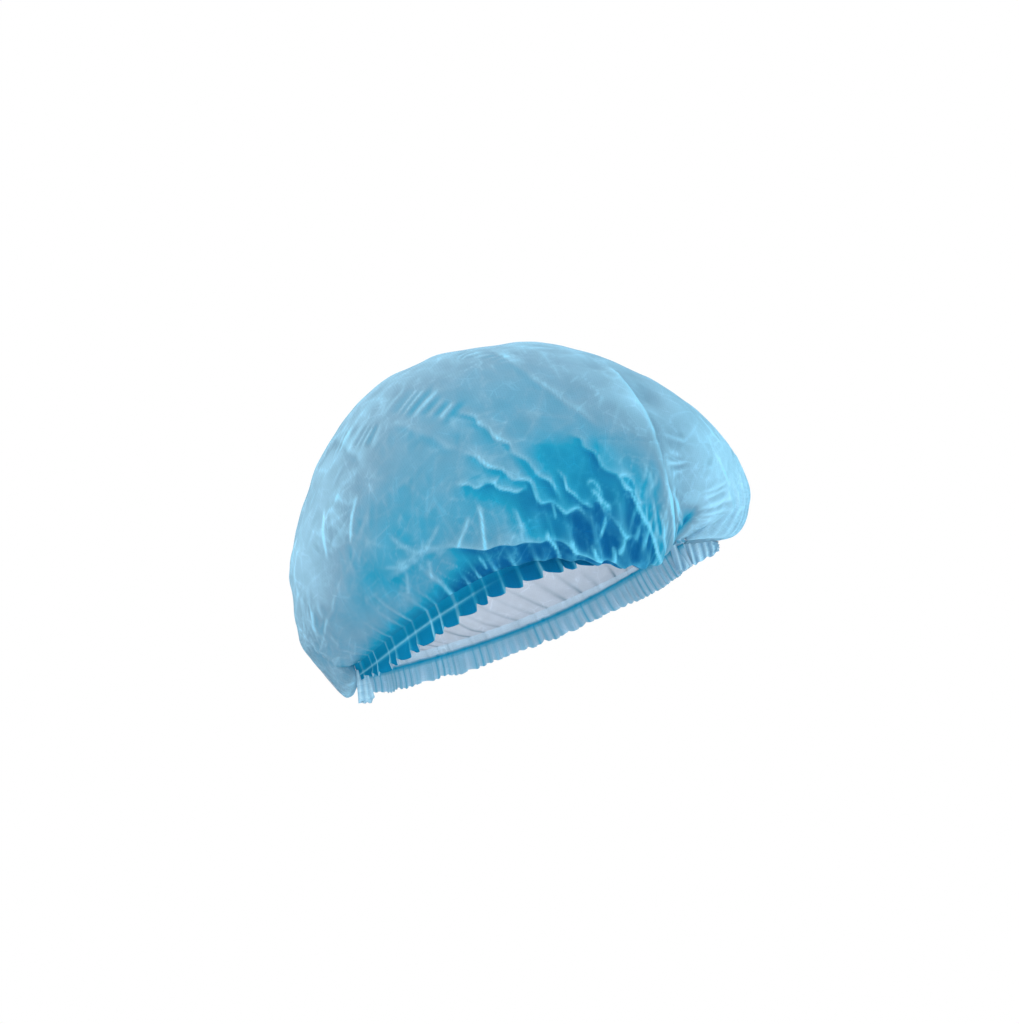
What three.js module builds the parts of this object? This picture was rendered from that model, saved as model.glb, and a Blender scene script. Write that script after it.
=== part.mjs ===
// Disposable hairnet: a pleated non-woven cap, puffed open as it is when worn.
// Millimetres and degrees. +X points to the forehead, +Y to the wearer's far side, +Z up.
// The origin is the middle of the opening, on the line between the two end gathers.
// The cap is worked out in a rim frame and then tipped by RIM_SLOPE:
// "along" runs from the nape gather (-1) to the forehead gather (+1), and "turn" is the angle
// round the line between the gathers, from the near edge of the opening over the top to the far edge.

import * as THREE from 'three';

// Opening
const HALF_CHORD = 93;
const RIM_SLOPE = 21.4;
const RIM_TURN = 5;
const NECK_RADIUS = 6;

// Cloth walls
const CROWN_WALL = 1.1;
const HEM_WALL = 1;
const PIECE_GAP = 0.3;

// Hem: a doubled edge with the elastic thread in its fold and a short frill below the thread
const HEM_ABOVE_ELASTIC = 6;
const FRILL_DROP = 8.5;
const FRILL_FLARE = 1.6;
const FRILL_PLEAT_RISE = 1.1;
const FRILL_PLEATS = 26;

// Elastic thread
const ELASTIC_DIAMETER = 1.6;
const ELASTIC_SIDES = 8;
const HEM_POCKET = ELASTIC_DIAMETER + 2 * PIECE_GAP;
const HEM_THICKNESS = 2 * HEM_WALL + HEM_POCKET;

// End welds: the gathered ends of the sheet, pressed flat between the two hems
const WELD_THICKNESS = 2 * (NECK_RADIUS - HEM_THICKNESS - PIECE_GAP);
const NAPE_TAB = { width: 8.5, length: 17, endRadius: 3.4, top: 2, below: 5.5 };
const BROW_TAB = { length: 18, rootHeight: 11, endHeight: 6.5, overlap: 3.5, below: 2.5 };

// Meridian sections of the crown, by turn angle up to the top, the same on both sides.
// mid: distance from the chord half way along. reachBack, reachFront: how far the puff passes
// the gathers. belly: height where it passes furthest. powerBack, powerFront: slope of the arch.
const SECTIONS = [
  { turn: 5, mid: 70.3, reachBack: 0, reachFront: 0, belly: 6, powerBack: 2.4, powerFront: 2.4 },
  { turn: 20, mid: 97, reachBack: 12, reachFront: 24, belly: 13, powerBack: 1.75, powerFront: 1.5 },
  { turn: 40, mid: 112, reachBack: 20, reachFront: 35, belly: 20, powerBack: 1.5, powerFront: 1.2 },
  { turn: 57.5, mid: 126, reachBack: 24, reachFront: 40, belly: 23, powerBack: 1.43, powerFront: 1.14 },
  { turn: 73.7, mid: 137, reachBack: 26, reachFront: 42, belly: 24, powerBack: 1.4, powerFront: 1.12 },
  { turn: 90, mid: 142, reachBack: 26, reachFront: 43, belly: 24, powerBack: 1.4, powerFront: 1.12 },
];

// Below its belly the puff turns in to the gather and sags like a small pouch
const LOW_SHARE = 0.18;
const POUCH_BACK = { corner: 0.75, sag: 15 };
const POUCH_FRONT = { corner: 0.6, sag: 11 };
const SAG_SHIFT = 1.7;

// The crown stops a little before the gathers, where the hems and the welds take over
const CROWN_END = 0.975;

// Main folds: each runs straight between two places on the cloth.
// depth is how far it is pressed in (negative is raised), width its half width across.
const FOLDS = [
  { fold: 'brow valley, upper', along: 0.36, turn: 66, toAlong: 0.5, toTurn: 38, depth: 5, width: 15 },
  { fold: 'brow valley, lower', along: 0.5, turn: 38, toAlong: 0.6, toTurn: 13, depth: 6, width: 14 },
  { fold: 'long crease, upper', along: 0.14, turn: 67, toAlong: 0.32, toTurn: 32, depth: 3, width: 9 },
  { fold: 'long crease, lower', along: 0.32, turn: 32, toAlong: 0.5, toTurn: 14, depth: 4.5, width: 9 },
  { fold: 'ruffled ledge, nape', along: -0.32, turn: 69, toAlong: -0.02, toTurn: 42, depth: 3, width: 10 },
  { fold: 'ruffled ledge, brow', along: 0.02, turn: 30, toAlong: 0.24, toTurn: 17, depth: 6, width: 10 },
  { fold: 'overhang', along: -0.25, turn: 17, toAlong: 0.2, toTurn: 12, depth: -4, width: 10 },
  { fold: 'nape dent', along: -0.48, turn: 40, toAlong: -0.24, toTurn: 34, depth: 4, width: 15 },
  { fold: 'nape dent, low', along: -0.58, turn: 20, toAlong: -0.45, toTurn: 27, depth: 3.5, width: 12 },
  { fold: 'crown dip', along: -0.08, turn: 88, toAlong: 0.26, toTurn: 98, depth: 3, width: 13 },
  { fold: 'far brow valley', along: 0.32, turn: 112, toAlong: 0.52, toTurn: 152, depth: 5, width: 16 },
  { fold: 'far ledge', along: -0.36, turn: 116, toAlong: 0.08, toTurn: 143, depth: 4.5, width: 11 },
  { fold: 'far nape dent', along: -0.5, turn: 148, toAlong: -0.22, toTurn: 155, depth: 4, width: 15 },
];
const FOLD_LENGTH_PER_ALONG = 225;
const FOLD_LENGTH_PER_DEGREE = 1.9;
const FOLD_FADE_TURN = 8;

// Mesh steps
const CROWN_STEPS_ALONG = 48;
const CROWN_STEPS_ROUND = 25;
const END_CROWDING = 0.3;
const RIM_STEPS = 2 * FRILL_PLEATS;
const TAB_CURVE_STEPS = 6;
const SLOPE_STEP_ALONG = 0.002;
const SLOPE_STEP_TURN = 0.2;

// Finishes
const CROWN_CLOTH = { color: 0x7fb2ce, roughness: 0.85, metalness: 0 };
const HEM_CLOTH = { color: 0x5f9dc4, roughness: 0.85, metalness: 0 };
const WELDED_CLOTH = { color: 0x7ba6c8, roughness: 0.7, metalness: 0 };
const ELASTIC = { color: 0x3f8a98, roughness: 0.6, metalness: 0 };

// Smooth value of one column of SECTIONS at a turn angle, level at the top of the crown
function sectionColumn(column, turn) {
  const last = SECTIONS.length - 1;
  const row = Math.max(0, SECTIONS.findLastIndex((s) => s.turn <= turn));
  const low = SECTIONS[Math.min(row, last - 1)];
  const high = SECTIONS[Math.min(row, last - 1) + 1];
  const slopeAt = (k) => {
    if (k === last) return 0;
    const before = SECTIONS[Math.max(k - 1, 0)];
    const after = SECTIONS[k + 1];
    return (after[column] - before[column]) / (after.turn - before.turn);
  };
  const k = SECTIONS.indexOf(low);
  const span = high.turn - low.turn;
  const t = THREE.MathUtils.clamp((turn - low.turn) / span, 0, 1);
  const t2 = t * t;
  const t3 = t2 * t;
  return (2 * t3 - 3 * t2 + 1) * low[column] + (t3 - 2 * t2 + t) * span * slopeAt(k)
    + (3 * t2 - 2 * t3) * high[column] + (t3 - t2) * span * slopeAt(k + 1);
}

// Smooth cloth surface before its folds, in the rim frame: x along the chord, z away from it
function puffPoint(along, turn) {
  const upright = turn > 90 ? 180 - turn : turn;
  const column = (name) => sectionColumn(name, upright);
  const back = along < 0;
  const belly = column('belly');
  const reach = column(back ? 'reachBack' : 'reachFront');
  const pouch = back ? POUCH_BACK : POUCH_FRONT;
  const topBelly = SECTIONS.at(-1).belly;
  const pouchShare = (belly - NECK_RADIUS) / (topBelly - NECK_RADIUS);
  const archEnd = 1 - LOW_SHARE * pouchShare;
  const distance = Math.abs(along);
  let chord;
  let radius;
  let sag = 0;
  if (distance <= archEnd) {
    const angle = (Math.PI / 2) * (distance / archEnd);
    const power = column(back ? 'powerBack' : 'powerFront');
    chord = (HALF_CHORD + reach) * Math.sin(angle);
    radius = belly + (column('mid') - belly) * Math.max(0, Math.cos(angle)) ** power;
  } else {
    const share = (distance - archEnd) / (1 - archEnd);
    const angle = (Math.PI / 2) * share;
    const cosine = Math.max(0, Math.cos(angle));
    const boxy = { out: cosine ** pouch.corner, drop: Math.sin(angle) ** pouch.corner };
    const radial = { out: cosine * cosine, drop: 1 - cosine };
    const fullness = THREE.MathUtils.smoothstep(pouchShare, 0, 1);
    chord = HALF_CHORD + reach * THREE.MathUtils.lerp(radial.out, boxy.out, fullness);
    radius = belly - (belly - NECK_RADIUS) * THREE.MathUtils.lerp(radial.drop, boxy.drop, fullness);
    sag = pouch.sag * pouchShare * Math.sin(Math.PI * share ** SAG_SHIFT);
  }
  const round = THREE.MathUtils.degToRad(turn);
  const lift = radius * Math.sin(round);
  return new THREE.Vector3(back ? -chord : chord, -radius * Math.cos(round), lift - sag);
}

// How far the main folds press the cloth in at a place
function foldDepth(along, turn) {
  const place = (a, t) => new THREE.Vector3(a * FOLD_LENGTH_PER_ALONG, t * FOLD_LENGTH_PER_DEGREE, 0);
  const here = place(along, turn);
  const nearest = new THREE.Vector3();
  let depth = 0;
  for (const fold of FOLDS) {
    const line = new THREE.Line3(place(fold.along, fold.turn), place(fold.toAlong, fold.toTurn));
    line.closestPointToPoint(here, true, nearest);
    const across = nearest.distanceTo(here) / fold.width;
    depth += fold.depth * Math.exp(-across * across);
  }
  const fromRim = Math.min(turn - RIM_TURN, 180 - RIM_TURN - turn);
  return depth * THREE.MathUtils.smoothstep(fromRim, 0, FOLD_FADE_TURN);
}

// Outward direction of a surface given as a function of along and turn
function outwardAt(surface, along, turn) {
  const a0 = Math.max(-1, along - SLOPE_STEP_ALONG);
  const a1 = Math.min(1, along + SLOPE_STEP_ALONG);
  const t0 = Math.max(RIM_TURN, turn - SLOPE_STEP_TURN);
  const t1 = Math.min(180 - RIM_TURN, turn + SLOPE_STEP_TURN);
  const lengthwise = surface(a1, turn).sub(surface(a0, turn));
  const crosswise = surface(along, t1).sub(surface(along, t0));
  return lengthwise.cross(crosswise).normalize();
}

function clothPoint(along, turn) {
  const inward = outwardAt(puffPoint, along, turn).multiplyScalar(-foldDepth(along, turn));
  return puffPoint(along, turn).add(inward);
}

// Closed geometry from points and triangles, turned so that its faces point out
function closedGeometry(points, triangles) {
  const volume = triangles.reduce((sum, [a, b, c]) => {
    const cross = new THREE.Vector3().crossVectors(points[b], points[c]);
    return sum + points[a].dot(cross);
  }, 0);
  const order = volume < 0 ? ([a, b, c]) => [a, c, b] : (triangle) => triangle;
  const geometry = new THREE.BufferGeometry().setFromPoints(points);
  geometry.setIndex(triangles.flatMap(order));
  geometry.computeVertexNormals();
  return geometry;
}

function quad(a, b, c, d) {
  return [[a, b, c], [a, c, d]];
}

// Crown: one layer of cloth between the two edges of the opening, open below
function crownGeometry() {
  const points = [];
  const rows = CROWN_STEPS_ALONG + 1;
  const columns = CROWN_STEPS_ROUND + 1;
  for (const depth of [0, CROWN_WALL]) {
    for (let i = 0; i < rows; i += 1) {
      const even = (2 * i) / CROWN_STEPS_ALONG - 1;
      const along = CROWN_END * even * (1 + END_CROWDING - END_CROWDING * even * even);
      for (let j = 0; j < columns; j += 1) {
        const turn = RIM_TURN + ((180 - 2 * RIM_TURN) * j) / CROWN_STEPS_ROUND;
        const inward = outwardAt(clothPoint, along, turn).multiplyScalar(-depth);
        points.push(clothPoint(along, turn).add(inward));
      }
    }
  }
  const outer = (i, j) => i * columns + j;
  const inner = (i, j) => rows * columns + outer(i, j);
  const triangles = [];
  for (let i = 0; i < CROWN_STEPS_ALONG; i += 1) {
    for (let j = 0; j < CROWN_STEPS_ROUND; j += 1) {
      const skin = (at) => [at(i, j), at(i + 1, j), at(i + 1, j + 1), at(i, j + 1)];
      const [a, b, c, d] = skin(outer);
      const [e, f, g, h] = skin(inner);
      const near = 2 * j < CROWN_STEPS_ROUND;
      // The far half is split as the mirror image of the near half
      triangles.push(...(near ? quad(a, b, c, d) : quad(b, c, d, a)));
      triangles.push(...(near ? quad(e, h, g, f) : quad(f, e, h, g)));
    }
  }
  for (let i = 0; i < CROWN_STEPS_ALONG; i += 1) {
    const far = CROWN_STEPS_ROUND;
    triangles.push(...quad(outer(i, 0), inner(i, 0), inner(i + 1, 0), outer(i + 1, 0)));
    triangles.push(...quad(outer(i, far), outer(i + 1, far), inner(i + 1, far), inner(i, far)));
  }
  for (let j = 0; j < CROWN_STEPS_ROUND; j += 1) {
    const front = CROWN_STEPS_ALONG;
    triangles.push(...quad(outer(0, j), outer(0, j + 1), inner(0, j + 1), inner(0, j)));
    triangles.push(...quad(outer(front, j), inner(front, j), inner(front, j + 1), outer(front, j + 1)));
  }
  return closedGeometry(points, triangles);
}

// Evenly spaced stations along one edge of the opening, each with its outward direction in the
// plane of the opening. side is -1 for the near edge and +1 for the far edge.
function rimStations(side) {
  const turn = side < 0 ? RIM_TURN : 180 - RIM_TURN;
  const samples = [];
  for (let i = 0; i <= 2 * RIM_STEPS; i += 1) {
    samples.push(puffPoint(i / RIM_STEPS - 1, turn));
  }
  const places = new THREE.CatmullRomCurve3(samples).getSpacedPoints(RIM_STEPS);
  return places.map((place, i) => {
    const ends = i === 0 || i === RIM_STEPS;
    const run = ends ? new THREE.Vector3(1, 0, 0) : places[i + 1].clone().sub(places[i - 1]);
    const out = new THREE.Vector3(-run.y, run.x, 0).normalize().multiplyScalar(side);
    const pleat = ends ? 0 : (i % 2) * 2 - 1;
    return { place, out, pleat };
  });
}

// Solid swept along stations. section(station) gives its outline as [outward, down] pairs.
function sweptGeometry(stations, section) {
  const points = [];
  for (const station of stations) {
    for (const [outward, down] of section(station)) {
      const point = station.place.clone().addScaledVector(station.out, outward);
      point.z -= PIECE_GAP + down;
      points.push(point);
    }
  }
  const sides = points.length / stations.length;
  const outline = section(stations[0]).map(([outward, down]) => new THREE.Vector2(outward, down));
  const triangles = [];
  for (let i = 0; i + 1 < stations.length; i += 1) {
    for (let k = 0; k < sides; k += 1) {
      const next = (k + 1) % sides;
      const corners = [i * sides + k, i * sides + next, (i + 1) * sides + next, (i + 1) * sides + k];
      const falls = outline[next].y > outline[k].y;
      // Both faces of a wall are split along the same pleat diagonal, so that its thickness holds
      if (falls === (i % 2 === 1)) corners.push(corners.shift());
      triangles.push(...quad(...corners));
    }
  }
  const end = (stations.length - 1) * sides;
  for (const [a, b, c] of THREE.ShapeUtils.triangulateShape(outline, [])) {
    triangles.push([b, a, c], [end + a, end + b, end + c]);
  }
  return closedGeometry(points, triangles);
}

// Doubled hem, open along its top, with a pocket for the thread and a pleated frill at its fold
function hemSection(station) {
  const fold = HEM_ABOVE_ELASTIC + FRILL_DROP;
  const lean = FRILL_FLARE + FRILL_PLEAT_RISE * station.pleat;
  const leanAt = (down) => (lean * Math.max(0, down - HEM_ABOVE_ELASTIC)) / FRILL_DROP;
  const wallAt = (depth, bottom, downwards) => {
    const downs = [0, HEM_ABOVE_ELASTIC, bottom];
    const ordered = downwards ? downs : downs.reverse();
    return ordered.map((down) => [leanAt(down) - depth, down]);
  };
  return [
    ...wallAt(0, fold, true),
    ...wallAt(HEM_THICKNESS, fold, false),
    ...wallAt(HEM_THICKNESS - HEM_WALL, fold - HEM_WALL, true),
    ...wallAt(HEM_WALL, fold - HEM_WALL, false),
  ];
}

function elasticSection() {
  const outline = [];
  for (let k = 0; k < ELASTIC_SIDES; k += 1) {
    const angle = (2 * Math.PI * (k + 0.5)) / ELASTIC_SIDES;
    const outward = (ELASTIC_DIAMETER * Math.cos(angle) - HEM_THICKNESS) / 2;
    const down = HEM_ABOVE_ELASTIC + (ELASTIC_DIAMETER * Math.sin(angle)) / 2;
    outline.push([outward, down]);
  }
  return outline;
}

// Flat weld of the gathered end, standing in the plane between the two hems
function weldGeometry(shape) {
  const settings = { depth: WELD_THICKNESS, bevelEnabled: false, curveSegments: TAB_CURVE_STEPS };
  const geometry = new THREE.ExtrudeGeometry(shape, settings);
  geometry.translate(0, 0, -WELD_THICKNESS / 2);
  geometry.rotateX(Math.PI / 2);
  return geometry;
}

function napeTabShape() {
  const { width, length, endRadius, top } = NAPE_TAB;
  const shape = new THREE.Shape();
  shape.moveTo(-width / 2, top);
  shape.lineTo(-width / 2, endRadius - length);
  shape.absarc(endRadius - width / 2, endRadius - length, endRadius, Math.PI, 1.5 * Math.PI);
  shape.absarc(width / 2 - endRadius, endRadius - length, endRadius, 1.5 * Math.PI, 2 * Math.PI);
  shape.lineTo(width / 2, top);
  shape.closePath();
  return shape;
}

function browTabShape() {
  const { length, rootHeight, endHeight, overlap } = BROW_TAB;
  const shape = new THREE.Shape();
  shape.moveTo(-overlap, 0);
  shape.lineTo(-overlap, -rootHeight);
  shape.quadraticCurveTo(length / 2, -rootHeight, length, -endHeight);
  shape.lineTo(length - overlap, -overlap / 2);
  shape.closePath();
  return shape;
}

function namedMesh(name, geometry, finish) {
  const mesh = new THREE.Mesh(geometry, new THREE.MeshStandardMaterial(finish));
  mesh.name = name;
  return mesh;
}

const hairnet = new THREE.Group();
hairnet.rotation.y = -THREE.MathUtils.degToRad(RIM_SLOPE);
hairnet.add(namedMesh('crown', crownGeometry(), CROWN_CLOTH));

for (const [label, side] of [['near', -1], ['far', 1]]) {
  const stations = rimStations(side);
  hairnet.add(namedMesh(`hem_${label}`, sweptGeometry(stations, hemSection), HEM_CLOTH));
  hairnet.add(namedMesh(`elastic_${label}`, sweptGeometry(stations, elasticSection), ELASTIC));
}

// The nape weld hangs straight down from its gather; the brow weld carries on along the chord
const weldNape = namedMesh('weld_nape', weldGeometry(napeTabShape()), WELDED_CLOTH);
weldNape.position.set(-HALF_CHORD, 0, -NAPE_TAB.below);
weldNape.rotation.y = -hairnet.rotation.y;
const weldBrow = namedMesh('weld_brow', weldGeometry(browTabShape()), WELDED_CLOTH);
weldBrow.position.set(HALF_CHORD, 0, -BROW_TAB.below);
hairnet.add(weldNape, weldBrow);

export default hairnet;
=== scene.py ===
"""Looks of the disposable hairnet: its puffed cloth, frilled hems, elastic threads and welded tabs.

Shapes are worked out in millimetres and degrees. "Along" runs over the cap from the nape gather (-1) to
the forehead gather (+1), and "turn" goes round the line between the gathers, from the near edge of the
opening over the top to the far edge. Meshes are written in metres, in the part's own frame.
"""
import logging
import math
from dataclasses import dataclass, field
from enum import Enum
from itertools import product

import bpy
import numpy as np
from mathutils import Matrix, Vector


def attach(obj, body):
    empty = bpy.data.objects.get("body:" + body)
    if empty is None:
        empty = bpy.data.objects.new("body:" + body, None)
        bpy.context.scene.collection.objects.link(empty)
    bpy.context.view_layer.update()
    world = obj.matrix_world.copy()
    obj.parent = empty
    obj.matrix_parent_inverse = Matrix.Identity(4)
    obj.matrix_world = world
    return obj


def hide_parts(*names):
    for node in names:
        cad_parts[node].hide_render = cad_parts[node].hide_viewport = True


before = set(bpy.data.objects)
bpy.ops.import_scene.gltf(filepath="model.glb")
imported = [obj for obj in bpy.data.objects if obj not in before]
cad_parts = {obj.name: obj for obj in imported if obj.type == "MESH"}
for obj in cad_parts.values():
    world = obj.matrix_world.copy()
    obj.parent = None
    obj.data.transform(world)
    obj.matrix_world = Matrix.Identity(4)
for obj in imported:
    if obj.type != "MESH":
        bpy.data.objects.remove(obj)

LOG = logging.getLogger("hairnet")
MM = 0.001
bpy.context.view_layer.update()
CLOTH_MAP = "Cloth"
HEM_END = 0.985

Array = np.ndarray
Stop = tuple[float, float]
Colour = tuple[float, float, float]
Feed = bpy.types.NodeSocket | float | tuple[float, ...]


class Side(Enum):
    """The two long edges of the sheet."""

    NEAR = -1
    FAR = 1

    @property
    def label(self) -> str:
        """Name used in the names of pieces."""
        return self.name.lower()


class Layer(Enum):
    """The two layers of a hem."""

    OUTER = 0
    INNER = 1


def smoothstep(value: Array, low: float, high: float) -> Array:
    """Ease from 0 at low to 1 at high.

    Args:
        value: Where to read the ramp.
        low: Value with 0.
        high: Value with 1.

    Returns:
        The ramp, of the shape of value.
    """
    share = np.clip((value - low) / (high - low), 0.0, 1.0)
    return share * share * (3.0 - 2.0 * share)


def unit(vectors: Array) -> Array:
    """Vectors made one long, along the last axis."""
    return vectors / np.maximum(np.linalg.norm(vectors, axis=-1, keepdims=True), 1e-9)


def ease(cells: Array) -> None:
    """Blend each cell of a grid with its neighbours, first down its rows and then across them, in place."""
    cells[1:-1] = 0.25 * (cells[:-2] + cells[2:]) + 0.5 * cells[1:-1]
    cells[:, 1:-1] = 0.25 * (cells[:, :-2] + cells[:, 2:]) + 0.5 * cells[:, 1:-1]


def gathered(row: Array) -> Array:
    """Row of places drawn together at their middle, which closes the end of a grid."""
    return np.broadcast_to(row.mean(axis=1, keepdims=True), row.shape)


class LatticeNoise:
    """Seeded smooth noise in space, about -1 to 1."""

    SPAN = 256
    GAIN = 1.6

    def __init__(self, seed: int) -> None:
        """Draw the lattice's slopes.

        Args:
            seed: Seed of the noise.
        """
        rng = np.random.default_rng(seed)
        self.order = rng.permutation(self.SPAN)
        self.slopes = unit(rng.normal(size=(self.SPAN, 3)))

    def at(self, points: Array) -> Array:
        """Noise at places.

        Args:
            points: Places with a last axis of three, one lattice cell per unit.

        Returns:
            One value for each place.
        """
        cell = np.floor(points).astype(int)
        part = points - cell
        fade = part**3 * (part * (part * 6.0 - 15.0) + 10.0)
        total = np.zeros(points.shape[:-1])
        for corner in product((0, 1), repeat=3):
            spot = (cell + corner) % self.SPAN
            first = self.order[spot[..., 0]]
            second = self.order[(first + spot[..., 1]) % self.SPAN]
            slope = self.slopes[self.order[(second + spot[..., 2]) % self.SPAN]]
            weight = np.prod(np.where(corner, fade, 1.0 - fade), axis=-1)
            total += weight * np.sum(slope * (part - corner), axis=-1)
        return self.GAIN * total


@dataclass(frozen=True)
class Section:
    """Meridian of the crown at one turn angle.

    mid is the distance from the chord half way along, reach_back and reach_front how far the puff passes
    the gathers, belly the height where it passes furthest, and the powers set the slope of the arch.
    """

    turn: float
    mid: float
    reach_back: float
    reach_front: float
    belly: float
    power_back: float
    power_front: float


@dataclass(frozen=True)
class Pouch:
    """Low end of the puff.

    corner is how square its corner is, sag and late how far and how near the gather it sags, and kept the
    share of the sag that is left at the gather.
    """

    corner: float
    sag: float
    late: float
    kept: float


@dataclass(frozen=True)
class CapForm:
    """Smooth form of the puffed cap, the same on both sides.

    half_chord is half the distance between the gathers, slope the tilt of the opening in degrees, rim_turn
    the turn of its edges, neck the radius of a gather, and low_share the share of along that the low ends
    take at the top. Sections go from the rim to the top.
    """

    half_chord: float = 93.0
    slope: float = 21.4
    rim_turn: float = 5.0
    neck: float = 4.0
    low_share: float = 0.16
    pouch_back: Pouch = Pouch(corner=0.85, sag=19.0, late=3.0, kept=0.6)
    pouch_front: Pouch = Pouch(corner=0.5, sag=11.0, late=2.5, kept=0.3)
    sections: tuple[Section, ...] = (
        Section(5.0, 70.3, 0.0, 0.0, 4.0, 2.4, 2.4),
        Section(20.0, 97.0, 12.0, 24.0, 13.0, 1.75, 1.5),
        Section(40.0, 112.0, 20.0, 35.0, 20.0, 1.5, 1.2),
        Section(57.5, 126.0, 24.0, 40.0, 23.0, 1.43, 1.14),
        Section(73.7, 137.0, 26.0, 42.0, 24.0, 1.4, 1.12),
        Section(90.0, 142.0, 26.0, 43.0, 24.0, 1.4, 1.12),
    )

    def column(self, name: str, turn: Array) -> Array:
        """Smooth value of one column of the sections.

        Args:
            name: A field of Section.
            turn: Angles from the rim to the top.

        Returns:
            Values through the sections, level at the top.
        """
        turns = np.array([row.turn for row in self.sections])
        values = np.array([getattr(row, name) for row in self.sections])
        slopes = np.zeros_like(values)
        slopes[0] = (values[1] - values[0]) / (turns[1] - turns[0])
        slopes[1:-1] = (values[2:] - values[:-2]) / (turns[2:] - turns[:-2])
        row = np.clip(np.searchsorted(turns, turn) - 1, 0, len(turns) - 2)
        span = turns[row + 1] - turns[row]
        t = np.clip((turn - turns[row]) / span, 0.0, 1.0)
        low = (2 * t**3 - 3 * t**2 + 1) * values[row] + (t**3 - 2 * t**2 + t) * span * slopes[row]
        high = (3 * t**2 - 2 * t**3) * values[row + 1] + (t**3 - t**2) * span * slopes[row + 1]
        return low + high

    def points(self, along: Array, turn: Array) -> Array:
        """Places on the smooth form.

        Args:
            along: Shares of the way from the middle to a gather, -1 to 1.
            turn: Angles round the chord, in degrees.

        Returns:
            Places in the part's frame, in millimetres.
        """
        upright = np.where(turn > 90.0, 180.0 - turn, turn)
        back = along < 0.0
        belly = self.column("belly", upright)
        reach, power = (
            np.where(back, self.column(f"{name}_back", upright), self.column(f"{name}_front", upright))
            for name in ("reach", "power")
        )
        corner, deepest, late, kept = (
            np.where(back, getattr(self.pouch_back, name), getattr(self.pouch_front, name))
            for name in ("corner", "sag", "late", "kept")
        )
        pouch = (belly - self.neck) / (self.sections[-1].belly - self.neck)
        arch_end = 1.0 - self.low_share * pouch
        distance = np.abs(along)

        swing = 0.5 * math.pi * np.clip(distance / arch_end, 0.0, 1.0)
        arch = np.clip(np.cos(swing), 0.0, 1.0) ** power
        arch_chord = (self.half_chord + reach) * np.sin(swing)
        arch_radius = belly + (self.column("mid", upright) - belly) * arch

        share = np.clip((distance - arch_end) / np.maximum(1.0 - arch_end, 1e-6), 0.0, 1.0)
        cosine = np.clip(np.cos(0.5 * math.pi * share), 0.0, 1.0)
        sine = np.sin(0.5 * math.pi * share)
        full = smoothstep(pouch, 0.0, 1.0)
        out = cosine**2 + (cosine**corner - cosine**2) * full
        drop = (1.0 - cosine) + (sine**corner - (1.0 - cosine)) * full
        low_chord = self.half_chord + reach * out
        low_radius = belly - (belly - self.neck) * drop
        hang = np.sin(math.pi * share**late)
        hang = np.where(share**late > 0.5, kept + (1.0 - kept) * hang, hang)
        sag = deepest * hang * pouch

        low = distance > arch_end
        chord = np.sign(along) * np.where(low, low_chord, arch_chord)
        radius = np.where(low, low_radius, arch_radius)
        angle = np.radians(turn)
        lift = radius * np.sin(angle) - np.where(low, sag, 0.0)
        return self.tipped(np.stack([chord, -radius * np.cos(angle), lift], axis=-1))

    def tipped(self, places: Array) -> Array:
        """Turn places or directions from the plane of the opening to the part's frame.

        Args:
            places: Distances along the chord, across it and up, on the last axis.

        Returns:
            The places in the part's frame.
        """
        lean = math.radians(self.slope)
        chord, across, lift = np.moveaxis(places, -1, 0)
        level = chord * math.cos(lean) - lift * math.sin(lean)
        height = chord * math.sin(lean) + lift * math.cos(lean)
        return np.stack([level, across, height], axis=-1)

    @property
    def up(self) -> Array:
        """Direction square to the opening, towards the top."""
        return self.tipped(np.array([0.0, 0.0, 1.0]))

    def beside_gather(self, end: int, step: tuple[float, float, float]) -> tuple[float, ...]:
        """Place beside a gather.

        Args:
            end: The nape gather (-1) or the forehead gather (1).
            step: Distances towards the middle, to the far side and up, in the plane of the opening.

        Returns:
            The place in the part's frame.
        """
        inward, across, lift = step
        return tuple(self.tipped(np.array([end * (self.half_chord - inward), across, lift])))

    def outward(self, along: Array, turn: Array) -> Array:
        """Outward directions of the smooth form, from small steps along it.

        Args:
            along: Along of each place.
            turn: Turn of each place.

        Returns:
            One direction for each place.
        """
        step_along, step_turn, last_along = 0.002, 0.2, 0.999
        fore, aft = np.minimum(along + step_along, last_along), np.maximum(along - step_along, -last_along)
        over = np.minimum(turn + step_turn, 180.0 - self.rim_turn)
        under = np.maximum(turn - step_turn, self.rim_turn)
        lengthwise = self.points(fore, turn) - self.points(aft, turn)
        crosswise = self.points(along, over) - self.points(along, under)
        return unit(np.cross(lengthwise, crosswise))


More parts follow.
